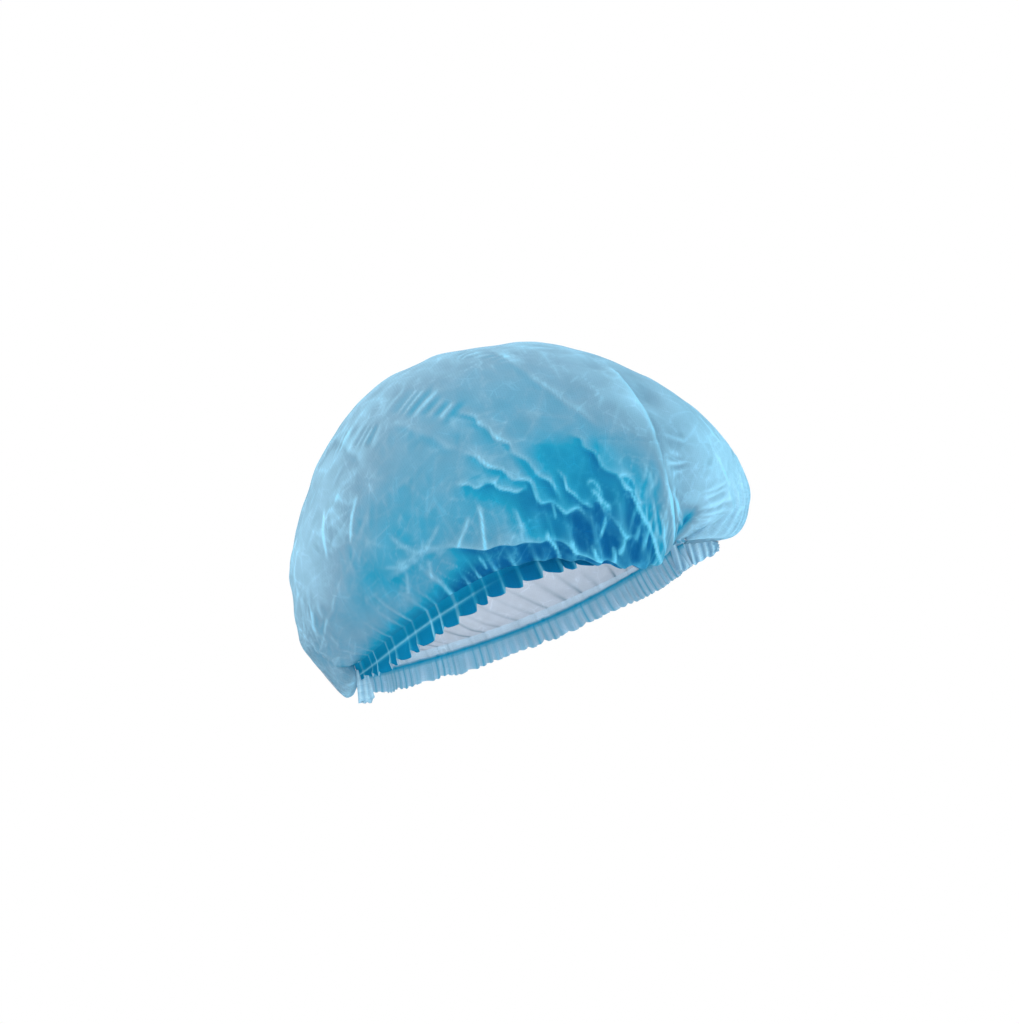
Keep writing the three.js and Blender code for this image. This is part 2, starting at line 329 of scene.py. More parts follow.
class Trace:
    """A line laid on the cloth through a few stops, with distances measured from it.

    SPAN_STEP is the share of a span between two of its points. Cloth more than OFF_END past an end of the
    line isn't beside it, and cloth more than DEPTH in front of it or behind it is another side of the cap.
    """

    SPAN_STEP = 0.05
    OFF_END = 1.0
    DEPTH = 30.0

    def __init__(self, form: CapForm, stops: tuple[Stop, ...]) -> None:
        """Lay the line.

        Args:
            form: Form that carries it.
            stops: Places as (along, turn).
        """
        knots = np.array(stops, dtype=float)
        knots = np.vstack([2 * knots[0] - knots[1], knots, 2 * knots[-1] - knots[-2]])
        pieces = []
        for a, b, c, d in zip(knots, knots[1:], knots[2:], knots[3:]):
            t = np.arange(0.0, 1.0, self.SPAN_STEP)[:, None]
            bend, twist = 2 * a - 5 * b + 4 * c - d, 3 * b - a - 3 * c + d
            pieces.append(0.5 * (2 * b + (c - a) * t + bend * t**2 + twist * t**3))
        way = np.vstack(pieces + [knots[-2:-1]])
        self.places = form.points(way[:, 0], way[:, 1])
        self.heading = unit(np.gradient(self.places, axis=0))
        self.below = unit(np.cross(self.heading, form.outward(way[:, 0], way[:, 1])))
        steps = np.linalg.norm(np.diff(self.places, axis=0), axis=1)
        self.run = np.concatenate([[0.0], np.cumsum(steps)])
        self.length = float(self.run[-1])

    def measure(self, points: Array) -> tuple[Array, Array, Array]:
        """Where places lie beside the line.

        Args:
            points: Places, flat list of three.

        Returns:
            Distance across the line (positive below it), run along it (-1 for cloth that isn't beside it),
            and the line's own below direction.
        """
        best = np.full(len(points), np.inf)
        index = np.zeros(len(points), dtype=int)
        for k, place in enumerate(self.places):
            gap = points - place
            square = np.einsum("ij,ij->i", gap, gap)
            closer = square < best
            best[closer] = square[closer]
            index[closer] = k
        gap = points - self.places[index]
        across = np.einsum("ij,ij->i", gap, self.below[index])
        onward = np.einsum("ij,ij->i", gap, self.heading[index])
        slack = np.sqrt(np.maximum(best - across**2, 0.0))
        off_end = np.where((index == 0) | (index == len(self.places) - 1), slack, 0.0)
        run = self.run[index] + np.where(off_end > 0.0, 0.0, onward)
        aside = np.sqrt(np.maximum(best - across**2 - onward**2, 0.0))
        run = np.where((off_end > self.OFF_END) | (aside > self.DEPTH), -1.0, run)
        return across, run, self.below[index]

    def shown(self, run: Array, fade: float) -> Array:
        """Strength along the line, which dies away over a length at both of its ends."""
        return smoothstep(run, 0.0, fade) * smoothstep(self.length - run, 0.0, fade)


@dataclass
class Relief:
    """What the folds do to each point of a cloth grid: moves in millimetres, and masks of the tone with
    painted shade, of painted highlight on ridges, and of painted shade in the inner side's folds.
    """

    points: Array
    outward: Array
    rise: Array = field(init=False)
    shift: Array = field(init=False)
    tone_and_shade: Array = field(init=False)
    ridge_highlight: Array = field(init=False)
    seam: Array = field(init=False)

    def __post_init__(self) -> None:
        """Start with flat cloth."""
        self.shift = np.zeros_like(self.points)
        self.rise, self.tone_and_shade, self.ridge_highlight, self.seam = np.zeros((4, len(self.points)))

    def soften(self, shape: tuple[int, int]) -> None:
        """Blend each point's moves twice with its neighbours', so that edges don't follow the grid's steps.

        Args:
            shape: Rows and columns of the grid.
        """
        for moves in (self.rise, self.shift) * 2:
            ease(moves.reshape(*shape, -1))

    def moved(self) -> Array:
        """Places of the cloth with all its folds."""
        return self.points + self.outward * self.rise[:, None] + self.shift


@dataclass(frozen=True)
class Fold:
    """Broad dent between two places; a negative depth raises the cloth.

    PAINTED_SHADE is the strength of its painted shade for each millimetre of depth; a raised fold gets
    painted light instead.
    """

    PAINTED_SHADE = 0.01

    start: Stop
    end: Stop
    depth: float
    width: float

    def press(self, relief: Relief, form: CapForm) -> None:
        """Add the dent to a relief.

        Args:
            relief: Cloth to disturb.
            form: Form that the cloth lies on.
        """
        ends = form.points(*np.array([self.start, self.end]).T)
        run = ends[1] - ends[0]
        share = np.clip((relief.points - ends[0]) @ run / (run @ run), 0.0, 1.0)
        gap = np.linalg.norm(relief.points - ends[0] - share[:, None] * run, axis=1)
        shape = np.exp(-((gap / self.width) ** 2))
        relief.rise -= self.depth * shape
        relief.tone_and_shade += self.PAINTED_SHADE * self.depth * shape


@dataclass(frozen=True)
class EdgeStyle:
    """How the edge of a pleat looks.

    lip and drop are the raise above the edge and the recess below it, lap is how far it hangs over, ruffle
    and pitch are the size of its waves, reach is how far from it the cloth is disturbed, step is half the
    width of the edge itself, fade is the length over which it dies away at its ends, and painted_shade and
    painted_highlight are the strengths of its painted shadow below the edge and painted highlight on its lip.
    """

    lip: float
    drop: float
    lap: float
    ruffle: float
    pitch: float
    reach: float = 8.0
    step: float = 0.8
    fade: float = 10.0
    painted_shade: float = 0.5
    painted_highlight: float = 1.0


RUFFLE = EdgeStyle(
    lip=0.9, drop=1.1, lap=0.9, ruffle=2.3, pitch=6.0, reach=5.0, step=1.0, painted_shade=0.13, painted_highlight=0.7,
)
LOW_RUFFLE = EdgeStyle(
    lip=0.6, drop=0.7, lap=0.6, ruffle=1.5, pitch=5.0, reach=4.0, fade=6.0, painted_shade=0.14, painted_highlight=0.75,
)
SOFT_EDGE = EdgeStyle(
    lip=0.5, drop=0.5, lap=0.0, ruffle=0.9, pitch=8.0, reach=5.0, step=1.6, painted_shade=0.08, painted_highlight=0.25,
)
LONG_EDGE = EdgeStyle(
    lip=0.5, drop=0.4, lap=0.0, ruffle=0.6, pitch=9.0, reach=4.0, step=1.5, painted_shade=0.05, painted_highlight=0.25,
)
BROW_EDGE = EdgeStyle(
    lip=0.8, drop=0.9, lap=0.3, ruffle=0.8, pitch=9.0, step=1.2, fade=14.0, painted_shade=0.06, painted_highlight=0.5,
)
OVERHANG = EdgeStyle(
    lip=1.1, drop=2.0, lap=1.2, ruffle=1.2, pitch=11.0, reach=6.0, step=1.2, fade=12.0,
    painted_shade=0.5, painted_highlight=0.55,
)


@dataclass(frozen=True)
class Ledge:
    """Edge of a pleat that lies over the cloth below it, unevenly waved where it is ruffled.

    SPACING bounds the waves' uneven lengths, in pitches, and ROUNDING is how far their tips are rounded.
    LAP_ABOVE and LAP_BELOW are how far above and below the edge the cloth slides with it, and PALE_ABOVE
    how far up the painted highlight above the edge reaches.
    """

    SPACING = (0.6, 1.5)
    ROUNDING = 0.9
    LAP_ABOVE = 2.6
    LAP_BELOW = 2.2
    PALE_ABOVE = 3.0

    stops: tuple[Stop, ...]
    style: EdgeStyle
    seed: int

    def waves(self, run: Array, length: float) -> tuple[Array, Array]:
        """Uneven waves of the edge, and how strongly it shows.

        Args:
            run: Lengths along the edge.
            length: Length of the whole edge.

        Returns:
            Waves from -1 to 1, and strengths from 0.25 to 1.
        """
        rng = np.random.default_rng(self.seed + 11)
        count = int(length / (self.SPACING[0] * self.style.pitch)) + 6
        knots = self.style.pitch * (np.cumsum(rng.uniform(*self.SPACING, count)) - 2.0)
        sides = np.where(np.arange(count) % 2, 1.0, -1.0) * rng.uniform(0.2, 1.0, count)
        shows = rng.uniform(0.25, 1.0, count)
        steps = (-self.ROUNDING, 0.0, self.ROUNDING)
        bend = sum(np.interp(run + step, knots, sides) for step in steps) / len(steps)
        return bend, np.interp(run, knots, shows)

    def press(self, relief: Relief, form: CapForm) -> None:
        """Add the edge to a relief.

        Args:
            relief: Cloth to disturb.
            form: Form that the cloth lies on.
        """
        style = self.style
        trace = Trace(form, self.stops)
        across, run, below = trace.measure(relief.points)
        ends = trace.shown(run, style.fade)
        bend, shows = self.waves(run, trace.length)
        edge = across - style.ruffle * bend
        above, under = np.minimum(edge, 0.0), np.maximum(edge, 0.0)
        step = smoothstep(edge, -style.step, style.step)
        flute = 0.25 * style.ruffle * bend
        raised = (style.lip + flute) * np.exp(above / style.reach)
        sunk = (style.drop - flute) * np.exp(-under / style.reach)
        relief.rise += ends * ((1.0 - step) * raised - step * sunk)
        hang = (1.0 - step) * np.exp(-((above / self.LAP_ABOVE) ** 2))
        hang = hang - 0.7 * step * np.exp(-((under / self.LAP_BELOW) ** 2))
        relief.shift += below * (style.lap * ends * hang)[:, None]
        # Painted shadow below the edge, and painted highlight on its lip that fades up the cloth above it.
        relief.tone_and_shade += style.painted_shade * ends * step * np.exp(-under / (1.2 * style.reach))
        lip = np.exp(-(((edge + 0.4) / style.step) ** 2))
        lip = lip + 0.2 * (1.0 - step) * np.exp(above / self.PALE_ABOVE)
        relief.ridge_highlight += style.painted_highlight * ends * shows * lip


@dataclass(frozen=True)
class FluteRow:
    """Row of short gathers across a line: their pitch, height and half length.

    JITTER is how far they stray from even spacing, in pitches, and LENGTHS and SIZES bound their uneven
    half lengths and heights, as shares.
    """

    JITTER = 0.36
    LENGTHS = (0.5, 1.1)
    SIZES = (0.3, 1.2)

    stops: tuple[Stop, ...]
    pitch: float
    height: float
    half_length: float
    slant: float
    seed: int
    painted_highlight: float = 0.25
    painted_shade: float = 0.1

    def press(self, relief: Relief, form: CapForm) -> None:
        """Add the gathers to a relief.

        Args:
            relief: Cloth to disturb.
            form: Form that the cloth lies on.
        """
        trace = Trace(form, self.stops)
        across, run, _ = trace.measure(relief.points)
        rng = np.random.default_rng(self.seed + 37)
        knots = np.arange(-3.0, trace.length / self.pitch + 4.0)
        phases = knots + rng.uniform(-self.JITTER, self.JITTER, len(knots))
        lengths = self.half_length * rng.uniform(*self.LENGTHS, len(knots))
        sizes = rng.uniform(*self.SIZES, len(knots))
        at = (run + self.slant * across) / self.pitch
        phase, reach, size = (np.interp(at, knots, values) for values in (phases, lengths, sizes))
        window = trace.shown(run, self.pitch) * size * (1.0 - smoothstep(np.abs(across), 0.4 * reach, reach))
        ridge = (0.5 + 0.5 * np.cos(2 * math.pi * phase)) ** 1.4
        relief.rise += self.height * window * (ridge - 0.42)
        # Painted highlight on the ridges of the gathers, and painted shade in the hollows between them.
        relief.ridge_highlight += self.painted_highlight * window * ridge**2
        relief.tone_and_shade += self.painted_shade * window * (1.0 - ridge)


@dataclass(frozen=True)
class Crease:
    """Sharp line pressed into the cloth; a negative height is a valley.

    It dies away over the share FADE of its length at each end. SWAY and SWAY_RUN are the size and run of its
    small bends, and LINE is the half width of its painted highlight.
    """

    FADE = 0.25
    SWAY = 0.35
    SWAY_RUN = 2.9
    LINE = 0.75

    stops: tuple[Stop, ...]
    height: float
    width: float = 0.9
    painted_highlight: float = 0.5

    def press(self, relief: Relief, form: CapForm) -> None:
        """Add the line to a relief.

        Args:
            relief: Cloth to disturb.
            form: Form that the cloth lies on.
        """
        trace = Trace(form, self.stops)
        across, run, _ = trace.measure(relief.points)
        across = across + self.SWAY * np.sin(run / self.SWAY_RUN)
        ends = trace.shown(run, self.FADE * trace.length)
        relief.rise += self.height * ends * np.exp(-np.abs(across) / self.width)
        # A raised line gets a painted highlight along it.
        if self.height > 0.0:
            relief.ridge_highlight += self.painted_highlight * ends * np.exp(-((across / self.LINE) ** 2))


@dataclass(frozen=True)
class Scatter:
    """Zone of the cloth with short one-sided folds, thrown at random.

    along and turn bound the zone, lengths and height size the folds, and lean and swing are how far they
    stray from the way the cloth falls, in degrees. FALL is that way. A fold is BEND bent, falls off over
    STEEP on one side and GENTLE on the other, and ends ROOM from its middle line.
    """

    FALL = np.array([-0.2, 0.1, -1.0])
    BEND = 0.24
    STEEP = 0.6
    GENTLE = 3.6
    ROOM = 12.0

    along: tuple[float, float]
    turn: tuple[float, float]
    count: int
    lengths: tuple[float, float]
    height: float
    lean: float
    swing: float
    seed: int

    def press(self, relief: Relief, form: CapForm) -> None:
        """Add the folds to a relief.

        Args:
            relief: Cloth to disturb.
            form: Form that the cloth lies on.
        """
        rng = np.random.default_rng(self.seed + 53)
        for _ in range(self.count):
            along, turn = np.array([rng.uniform(*self.along)]), np.array([rng.uniform(*self.turn)])
            place, outward = form.points(along, turn)[0], form.outward(along, turn)[0]
            fall = unit(self.FALL - outward * (self.FALL @ outward))
            tilt = math.radians(self.lean + rng.uniform(-self.swing, self.swing))
            heading = math.cos(tilt) * fall + math.sin(tilt) * np.cross(outward, fall)
            beside = np.cross(heading, outward) * rng.choice((-1.0, 1.0))
            height = self.height * rng.uniform(0.4, 1.0)
            self.stroke(relief, place, (heading, beside), rng.uniform(*self.lengths), height)

    def stroke(self, relief: Relief, place: Array, ways: tuple[Array, Array], length: float,
               height: float) -> None:
        """Add one fold: steep on one side, and running out gently on the other.

        Args:
            relief: Cloth to disturb.
            place: Middle of the fold.
            ways: Directions along the fold and across it, to its gentle side.
            length: Length of the fold.
            height: Height of its edge.
        """
        gap = relief.points - place
        onward, across = gap @ ways[0], gap @ ways[1]
        across = across + self.BEND * onward**2 / length
        near = (np.abs(onward) < 0.5 * length) & (np.abs(across) < self.ROOM)
        near &= np.einsum("ij,ij->i", gap, gap) < (0.5 * length + self.ROOM) ** 2
        onward, across = onward[near], across[near]
        taper = (1.0 - (2.0 * onward / length) ** 2) ** 2
        reach = np.where(across > 0.0, self.GENTLE, self.STEEP)
        relief.rise[near] += height * taper * np.exp(-np.abs(across) / reach)
        # Painted highlight along the fold's edge, and painted shade beside its steep side.
        relief.ridge_highlight[near] += 0.26 * height * taper * np.exp(-(((across - 0.3) / 0.8) ** 2))
        relief.tone_and_shade[near] += 0.1 * height * taper * np.exp(-np.abs(across + 1.6) / 1.5)


@dataclass(frozen=True)
class Facets:
    """Crushed facets round seeds thrown over the cloth, with creases half way between the seeds.

    SKIN is the cloth's area for a square of its longest side and CELL a facet's area for a square of the
    pitch, SWELLS bounds how far facets sink or rise, and LINE is the half width of the painted highlight
    along the folds between facets.
    """

    SKIN = 4.0
    CELL = 2.4
    SWELLS = (-1.0, 0.5)
    LINE = 1.1

    pitch: float
    height: float
    painted_highlight: float
    seed: int

    def press(self, relief: Relief, calm: Array) -> None:
        """Add the facets to a relief.

        Args:
            relief: Cloth to disturb.
            calm: How strongly each point is crushed.
        """
        rng = np.random.default_rng(self.seed)
        points = relief.points.astype(np.float32)
        spread = np.ptp(points, axis=0).max()
        count = int(self.SKIN * (spread / self.pitch) ** 2 / self.CELL)
        seeds = points[rng.integers(0, len(points), count)]
        swells = rng.uniform(*self.SWELLS, len(seeds))
        first = np.full(len(points), np.inf, dtype=np.float32)
        second = first.copy()
        swell = np.zeros(len(points))
        for place, size in zip(seeds, swells):
            gap = points - place
            square = np.einsum("ij,ij->i", gap, gap)
            nearest = square < first
            second = np.where(nearest, first, np.minimum(second, square))
            first = np.where(nearest, square, first)
            swell[nearest] = size
        inside = np.sqrt(second) - np.sqrt(first)
        relief.rise += self.height * calm * swell * np.minimum(inside / self.pitch, 0.8)
        # Painted highlight along the folds round sunken facets.
        line = np.exp(-((inside / self.LINE) ** 2))
        relief.ridge_highlight += self.painted_highlight * calm * np.clip(-swell, 0.0, 1.0) * line


@dataclass(frozen=True)
class Overhang:
    """Roll of slack cloth that hangs over the near elastic edge.

    start to full and last to stop are the ranges of along over which it grows and dies, ridge is how far
    above the edge it is fullest, in degrees, and out and sag are how far it stands out and hangs down.
    Its edge has cusps that hang lower, with so many lobes to a unit of along, of a mean height of MEAN_LOBE.
    """

    MEAN_LOBE = 0.64

    start: float = -0.22
    full: float = 0.14
    last: float = 0.42
    stop: float = 0.6
    ridge: float = 4.0
    out: float = 2.5
    sag: float = 8.0
    lobes: float = 12.6
    scallop: float = 0.22

    def press(self, relief: Relief, form: CapForm, along: Array, turn: Array) -> None:
        """Add the roll to a relief.

        Args:
            relief: Cloth to disturb.
            form: Form that gives the plane of the opening.
            along: Along of each point.
            turn: Turn of each point.
        """
        grown = smoothstep(along, self.start, self.full) * (1.0 - smoothstep(along, self.last, self.stop))
        share = (turn - form.rim_turn) / self.ridge
        waves = 1.0 + self.scallop * (self.MEAN_LOBE - np.abs(np.sin(math.pi * self.lobes * along)))
        profile = grown * waves * share * np.exp(1.0 - share)
        relief.shift += relief.outward * (self.out * profile)[:, None] - np.outer(self.sag * profile, form.up)


@dataclass(frozen=True)
class Shade:
    """Patch of painted shade on the cloth, and of painted light where its strength is negative: its middle,
    half sizes and strength.
    """

    along: float
    turn: float
    half_along: float
    half_turn: float
    strength: float

    def paint(self, along: Array, turn: Array) -> Array:
        """Mask of the patch over the cloth."""
        square = ((along - self.along) / self.half_along) ** 2 + ((turn - self.turn) / self.half_turn) ** 2
        return self.strength * np.exp(-square)


@dataclass(frozen=True)
class RimPleats:
    """Gathers made by one elastic: outward waves that grow in the frill and die away up the crown.

    The hem's drop shrinks from short_from to short_to, where the cloth is drawn up: thread_left and
    fold_left are the shares of the thread's and the fold's drops that are left there. last_left is the
    share left at the forehead, and tail the share of the frill left where the hem ends. scallop rounds the
    frill's lobes and saw steps them, and turned_up is how far above the thread the inner layer reaches.
    crowd more pleats lie in the crowded range of the run. Pleats stray JITTER pitches from even spacing, and
    the forehead's share is reached over the range BROW of along.
    """

    KNOTS = np.arange(-60.0, 61.0)
    JITTER = 0.38
    BROW = (0.42, 0.66)

    pitch: float
    reach: tuple[float, float]
    slant: float
    scallop: float
    saw: float
    frills: int
    short_from: float
    short_to: float
    thread_left: float
    fold_left: float
    seed: int
    last_left: float = 1.0
    tail: float = 0.3
    crowd: float = 3.0
    crowded: tuple[float, float] = (84.0, 118.0)
    rise_edge: float = 1.3
    rise_thread: float = 0.6
    rise_fold: float = 2.3
    thread_down: float = 6.0
    fold_down: float = 14.5
    turned_up: float = 5.2

    def phase(self, run: Array) -> Array:
        """Phase of the pleats, which are uneven and crowd near the gathers.

        Args:
            run: Lengths along the edge, from its middle.

        Returns:
            One phase for each length, in pleats.
        """
        rng = np.random.default_rng(self.seed)
        even = run / self.pitch + np.sign(run) * self.crowd * smoothstep(np.abs(run), *self.crowded)
        strays = rng.uniform(-self.JITTER, self.JITTER, len(self.KNOTS))
        return np.interp(even, self.KNOTS, self.KNOTS + strays)

    def pick(self, phase: Array, low: float, high: float, salt: int) -> Array:
        """Draw random values, one a pleat, with even changes from one pleat to the next.

        Args:
            phase: Phase of each point, in pleats.
            low: Lowest value.
            high: Highest value.
            salt: Number that sets these values apart from others of the same edge.

        Returns:
            One value for each point.
        """
        rng = np.random.default_rng(self.seed + salt)
        return np.interp(phase, self.KNOTS, rng.uniform(low, high, len(self.KNOTS)))

    def drops(self, along: Array) -> tuple[Array, Array]:
        """Distances from the crown's edge down to the thread and to the fold.

        Args:
            along: Along of each point of the edge.

        Returns:
            The two distances.
        """
        drawn = smoothstep(along, self.short_from, self.short_to)
        last = 1.0 - (1.0 - self.last_left) * smoothstep(along, *self.BROW)
        thread = self.thread_down * (1.0 - (1.0 - self.thread_left) * drawn)
        return last * thread, last * self.fold_down * (1.0 - (1.0 - self.fold_left) * drawn)

    @staticmethod
    def ridge(phase: Array) -> Array:
        """Narrow outward ridge at each whole phase."""
        return (0.5 + 0.5 * np.cos(2 * math.pi * phase)) ** 4

    @staticmethod
    def wave(phase: Array) -> Array:
        """Outward wave: a narrow ridge beside a broad lobe."""
        return RimPleats.ridge(phase) + 0.5 * np.sin(math.pi * phase) ** 2 - 0.5

    def swell(self, band: float, frill: float) -> float:
        """Height of the waves in one row.

        Args:
            band: Share of the band above the thread.
            frill: Share of the frill below it.

        Returns:
            The height.
        """
        grown = min(1.0, 1.4 * frill)
        above = self.rise_edge + (self.rise_thread - self.rise_edge) * band
        return above + (self.rise_fold - self.rise_thread) * grown


NEAR_PLEATS = RimPleats(
    pitch=9.2, reach=(4.0, 15.0), slant=0.15, scallop=1.6, saw=3.4, frills=1,
    short_from=-0.28, short_to=0.1, thread_left=0.52, fold_left=0.78, seed=5, last_left=0.35, crowd=0.5,
)
FAR_PLEATS = RimPleats(
    pitch=10.6, reach=(14.0, 30.0), slant=0.55, scallop=1.0, saw=0.8, frills=2,
    short_from=0.1, short_to=0.9, thread_left=0.15, fold_left=1.0, seed=6, tail=0.8, crowd=1.2,
    fold_down=17.0, turned_up=1.6,
)


class NodeBench:
    """Place where the shader nodes of one tree are made and linked."""

    def __init__(self, tree: bpy.types.NodeTree) -> None:
        """Keep the tree that gets the nodes."""
        self.tree = tree

    def add(self, kind: str, feeds: dict[str | int, Feed] | None = None,
            **settings: object) -> bpy.types.Node:
        """Add a node.

        Args:
            kind: Type of the node, without its ShaderNode prefix.
            feeds: For each input, by name or place, the socket that is linked to it or the value set on it.
            settings: Properties of the node.

        Returns:
            The node.
        """
        node = self.tree.nodes.new(f"ShaderNode{kind}")
        for name, value in settings.items():
            setattr(node, name, value)
        for name, feed in (feeds or {}).items():
            if isinstance(feed, bpy.types.NodeSocket):
                self.tree.links.new(feed, node.inputs[name])
            else:
                node.inputs[name].default_value = feed
        return node

    def mask(self, name: str) -> bpy.types.NodeSocket:
        """Socket with one of the cloth's own masks."""
        return self.add("Attribute", attribute_name=name).outputs["Fac"]

    def mix(self, start: Feed, end: Feed, share: Feed, way: str = "MIX") -> bpy.types.NodeSocket:
        """Add a mix of two colours.

        Args:
            start: Colour at a share of 0.
            end: Colour at a share of 1.
            share: How much of the end is mixed in.
            way: How the two are mixed.

        Returns:
            The socket with the mixed colour.
        """
        feeds = {"Factor": share, "A": start, "B": end}
        return self.add("Mix", feeds, data_type="RGBA", blend_type=way).outputs["Result"]

    def math(self, way: str, *feeds: Feed) -> bpy.types.NodeSocket:
        """Socket with the result of a calculation, such as MULTIPLY or MULTIPLY_ADD."""
        return self.add("Math", dict(enumerate(feeds)), operation=way).outputs["Value"]

    def ramp(self, value: Feed, start: tuple[float, float], end: tuple[float, float],
             eased: bool = True) -> bpy.types.NodeSocket:
        """Add a ramp.

        Args:
            value: What is read.
            start: Value at the start, and what it gives.
            end: Value at the end, and what it gives.
            eased: Whether the ramp is smooth at both ends.

        Returns:
            The socket with the result.
        """
        feeds = {
            "Value": value, "From Min": start[0], "From Max": end[0], "To Min": start[1], "To Max": end[1],
        }
        easing = "SMOOTHSTEP" if eased else "LINEAR"
        return self.add("MapRange", feeds, interpolation_type=easing).outputs["Result"]


@dataclass(frozen=True)
class ClothFinish:
    """Spunbond cloth: its colours by depth of shade, and how it takes light.

    tones are (shade, colour) pairs from the palest painted light through the cloth's own colour to the
    deepest painted shade in hollows, fold_highlight is the colour of painted highlights on sharp folds,
    inside is the colour of the inner side and seam the painted shade in its folds, and through tints the
    light that comes through, with the strength tinted on the outer side. bump and bump_depth are the strength
    and the depth in metres of the grain's relief.
    """

    name: str
    tones: tuple[tuple[float, Colour], ...]
    fold_highlight: Colour
    inside: Colour
    seam: Colour
    through: Colour
    glow: float = 0.3
    tinted: float = 0.6
    roughness: float = 0.75
    gloss: float = 0.04
    bump: float = 0.4
    bump_depth: float = 0.0003

    def material(self, spunbond: bpy.types.NodeTree) -> bpy.types.Material:
        """Make the material.

        Args:
            spunbond: Shared node group of the cloth's bond points and fibres.

        Returns:
            A material that reads the cloth's own masks.
        """
        made = bpy.data.materials.new(self.name)
        made.use_nodes = True
        made.node_tree.nodes.clear()
        bench = NodeBench(made.node_tree)
        uv = bench.add("UVMap", uv_map=CLOTH_MAP)
        grain = bench.add("Group", {"Place": uv.outputs["UV"]}, node_tree=spunbond)
        backfacing = bench.add("NewGeometry").outputs["Backfacing"]
        face = bench.mix(self.folded(bench), self.lined(bench), backfacing)
        base = bench.mix(face, grain.outputs["Tone"], 1.0, "MULTIPLY")
        bump = bench.add("Bump", {
            "Height": grain.outputs["Height"], "Strength": self.bump, "Distance": self.bump_depth,
        })
        front = bench.add("BsdfPrincipled", {
            "Base Color": base, "Normal": bump.outputs["Normal"],
            "Roughness": self.roughness, "Specular IOR Level": self.gloss,
        })
        outer = bench.math("MULTIPLY_ADD", backfacing, -self.tinted, self.tinted)
        tint = bench.mix(base, (*self.through, 1.0), outer)
        behind = bench.add("BsdfTranslucent", {"Color": tint})
        cloth = bench.add("MixShader", {0: self.glow, 1: front.outputs["BSDF"], 2: behind.outputs["BSDF"]})
        bench.add("OutputMaterial", {"Surface": cloth.outputs["Shader"]})
        return made

    def folded(self, bench: NodeBench) -> bpy.types.NodeSocket:
        """Add the outer side's colour: its tone along the ramp of painted light and shade, and painted
        highlight on its sharp folds.

        Args:
            bench: Where the material's nodes are made.

        Returns:
            The socket with the colour.
        """
        ramp = bench.add("ValToRGB", {"Fac": bench.mask("shade")})
        stops = ramp.color_ramp.elements
        stops[0].color = (*self.tones[0][1], 1.0)
        stops[1].color = (*self.tones[-1][1], 1.0)
        for depth, colour in self.tones[1:-1]:
            stops.new(depth).color = (*colour, 1.0)
        return bench.mix(ramp.outputs["Color"], (*self.fold_highlight, 1.0), bench.mask("ridge_highlight"))

    def lined(self, bench: NodeBench) -> bpy.types.NodeSocket:
        """Socket with the inner side's colour, with painted shade in its folds."""
        return bench.mix((*self.inside, 1.0), (*self.seam, 1.0), bench.mask("seam"))


@dataclass(frozen=True)
class SpunbondGrain:
    """Shared node group: the lattice of bond points and the loose fibres of spunbond cloth.

    pitch and crinkle are the spacing of the bond points and the size of the fine crinkles, in millimetres.
    bond and patch are where a bond point and a crinkled patch start and end, line is the width of a crinkle
    in crinkles, fuzz and fold the heights of the fibres and crinkles beside a bond point's, and shaded and
    mottled how far they and the clouds change the tone.
    """

    pitch: float = 1.25
    crinkle: float = 11.0
    bond: tuple[float, float] = (0.18, 0.42)
    patch: tuple[float, float] = (0.45, 0.62)
    line: float = 0.05
    fuzz: float = 0.7
    fold: float = 1.5
    shaded: tuple[float, float] = (0.92, 1.2)
    mottled: tuple[float, float] = (0.94, 1.05)

    def tree(self) -> bpy.types.NodeTree:
        """Build the group.

        Returns:
            A node tree with an input Place and the outputs Tone and Height.
        """
        tree = bpy.data.node_groups.new("spunbond_grain", "ShaderNodeTree")
        tree.interface.new_socket("Place", in_out="INPUT", socket_type="NodeSocketVector")
        tree.interface.new_socket("Tone", in_out="OUTPUT", socket_type="NodeSocketColor")
        tree.interface.new_socket("Height", in_out="OUTPUT", socket_type="NodeSocketFloat")
        inlet, outlet = tree.nodes.new("NodeGroupInput"), tree.nodes.new("NodeGroupOutput")
        bench = NodeBench(tree)
        scaled = bench.add(
            "VectorMath", {0: inlet.outputs["Place"], "Scale": 1.0 / (MM * self.pitch)}, operation="SCALE",
        )
        place = scaled.outputs["Vector"]
        bonds = bench.add("TexVoronoi", {"Vector": place, "Scale": 1.0, "Randomness": 0.25})
        fibres = bench.add("TexNoise", {
            "Vector": place, "Scale": 0.9, "Detail": 4.0, "Roughness": 0.65, "Distortion": 1.2,
        })
        clouds = bench.add("TexNoise", {"Vector": place, "Scale": 0.09, "Detail": 3.0})
        crushed = bench.add(
            "TexVoronoi", {"Vector": place, "Scale": self.pitch / self.crinkle}, feature="DISTANCE_TO_EDGE",
        )
        dots = bench.ramp(bonds.outputs["Distance"], (self.bond[0], 0.0), (self.bond[1], 1.0))
        lines = bench.ramp(crushed.outputs["Distance"], (0.0, 1.0), (self.line, 0.0))
        where = bench.ramp(clouds.outputs["Fac"], (self.patch[0], 0.0), (self.patch[1], 1.0))
        crinkles = bench.math("MULTIPLY", lines, where)
        fuzzy = bench.math("MULTIPLY_ADD", fibres.outputs["Fac"], self.fuzz, dots)
        height = bench.math("MULTIPLY_ADD", crinkles, self.fold, fuzzy)
        tallest = 1.0 + self.fuzz + self.fold
        palest, deepest = self.mottled
        weave = bench.ramp(height, (0.0, self.shaded[0]), (tallest, self.shaded[1]), eased=False)
        mottle = bench.ramp(clouds.outputs["Fac"], (0.3, palest), (0.7, deepest), eased=False)
        tree.links.new(height, outlet.inputs["Height"])
        tree.links.new(bench.math("MULTIPLY", weave, mottle), outlet.inputs["Tone"])
        return tree


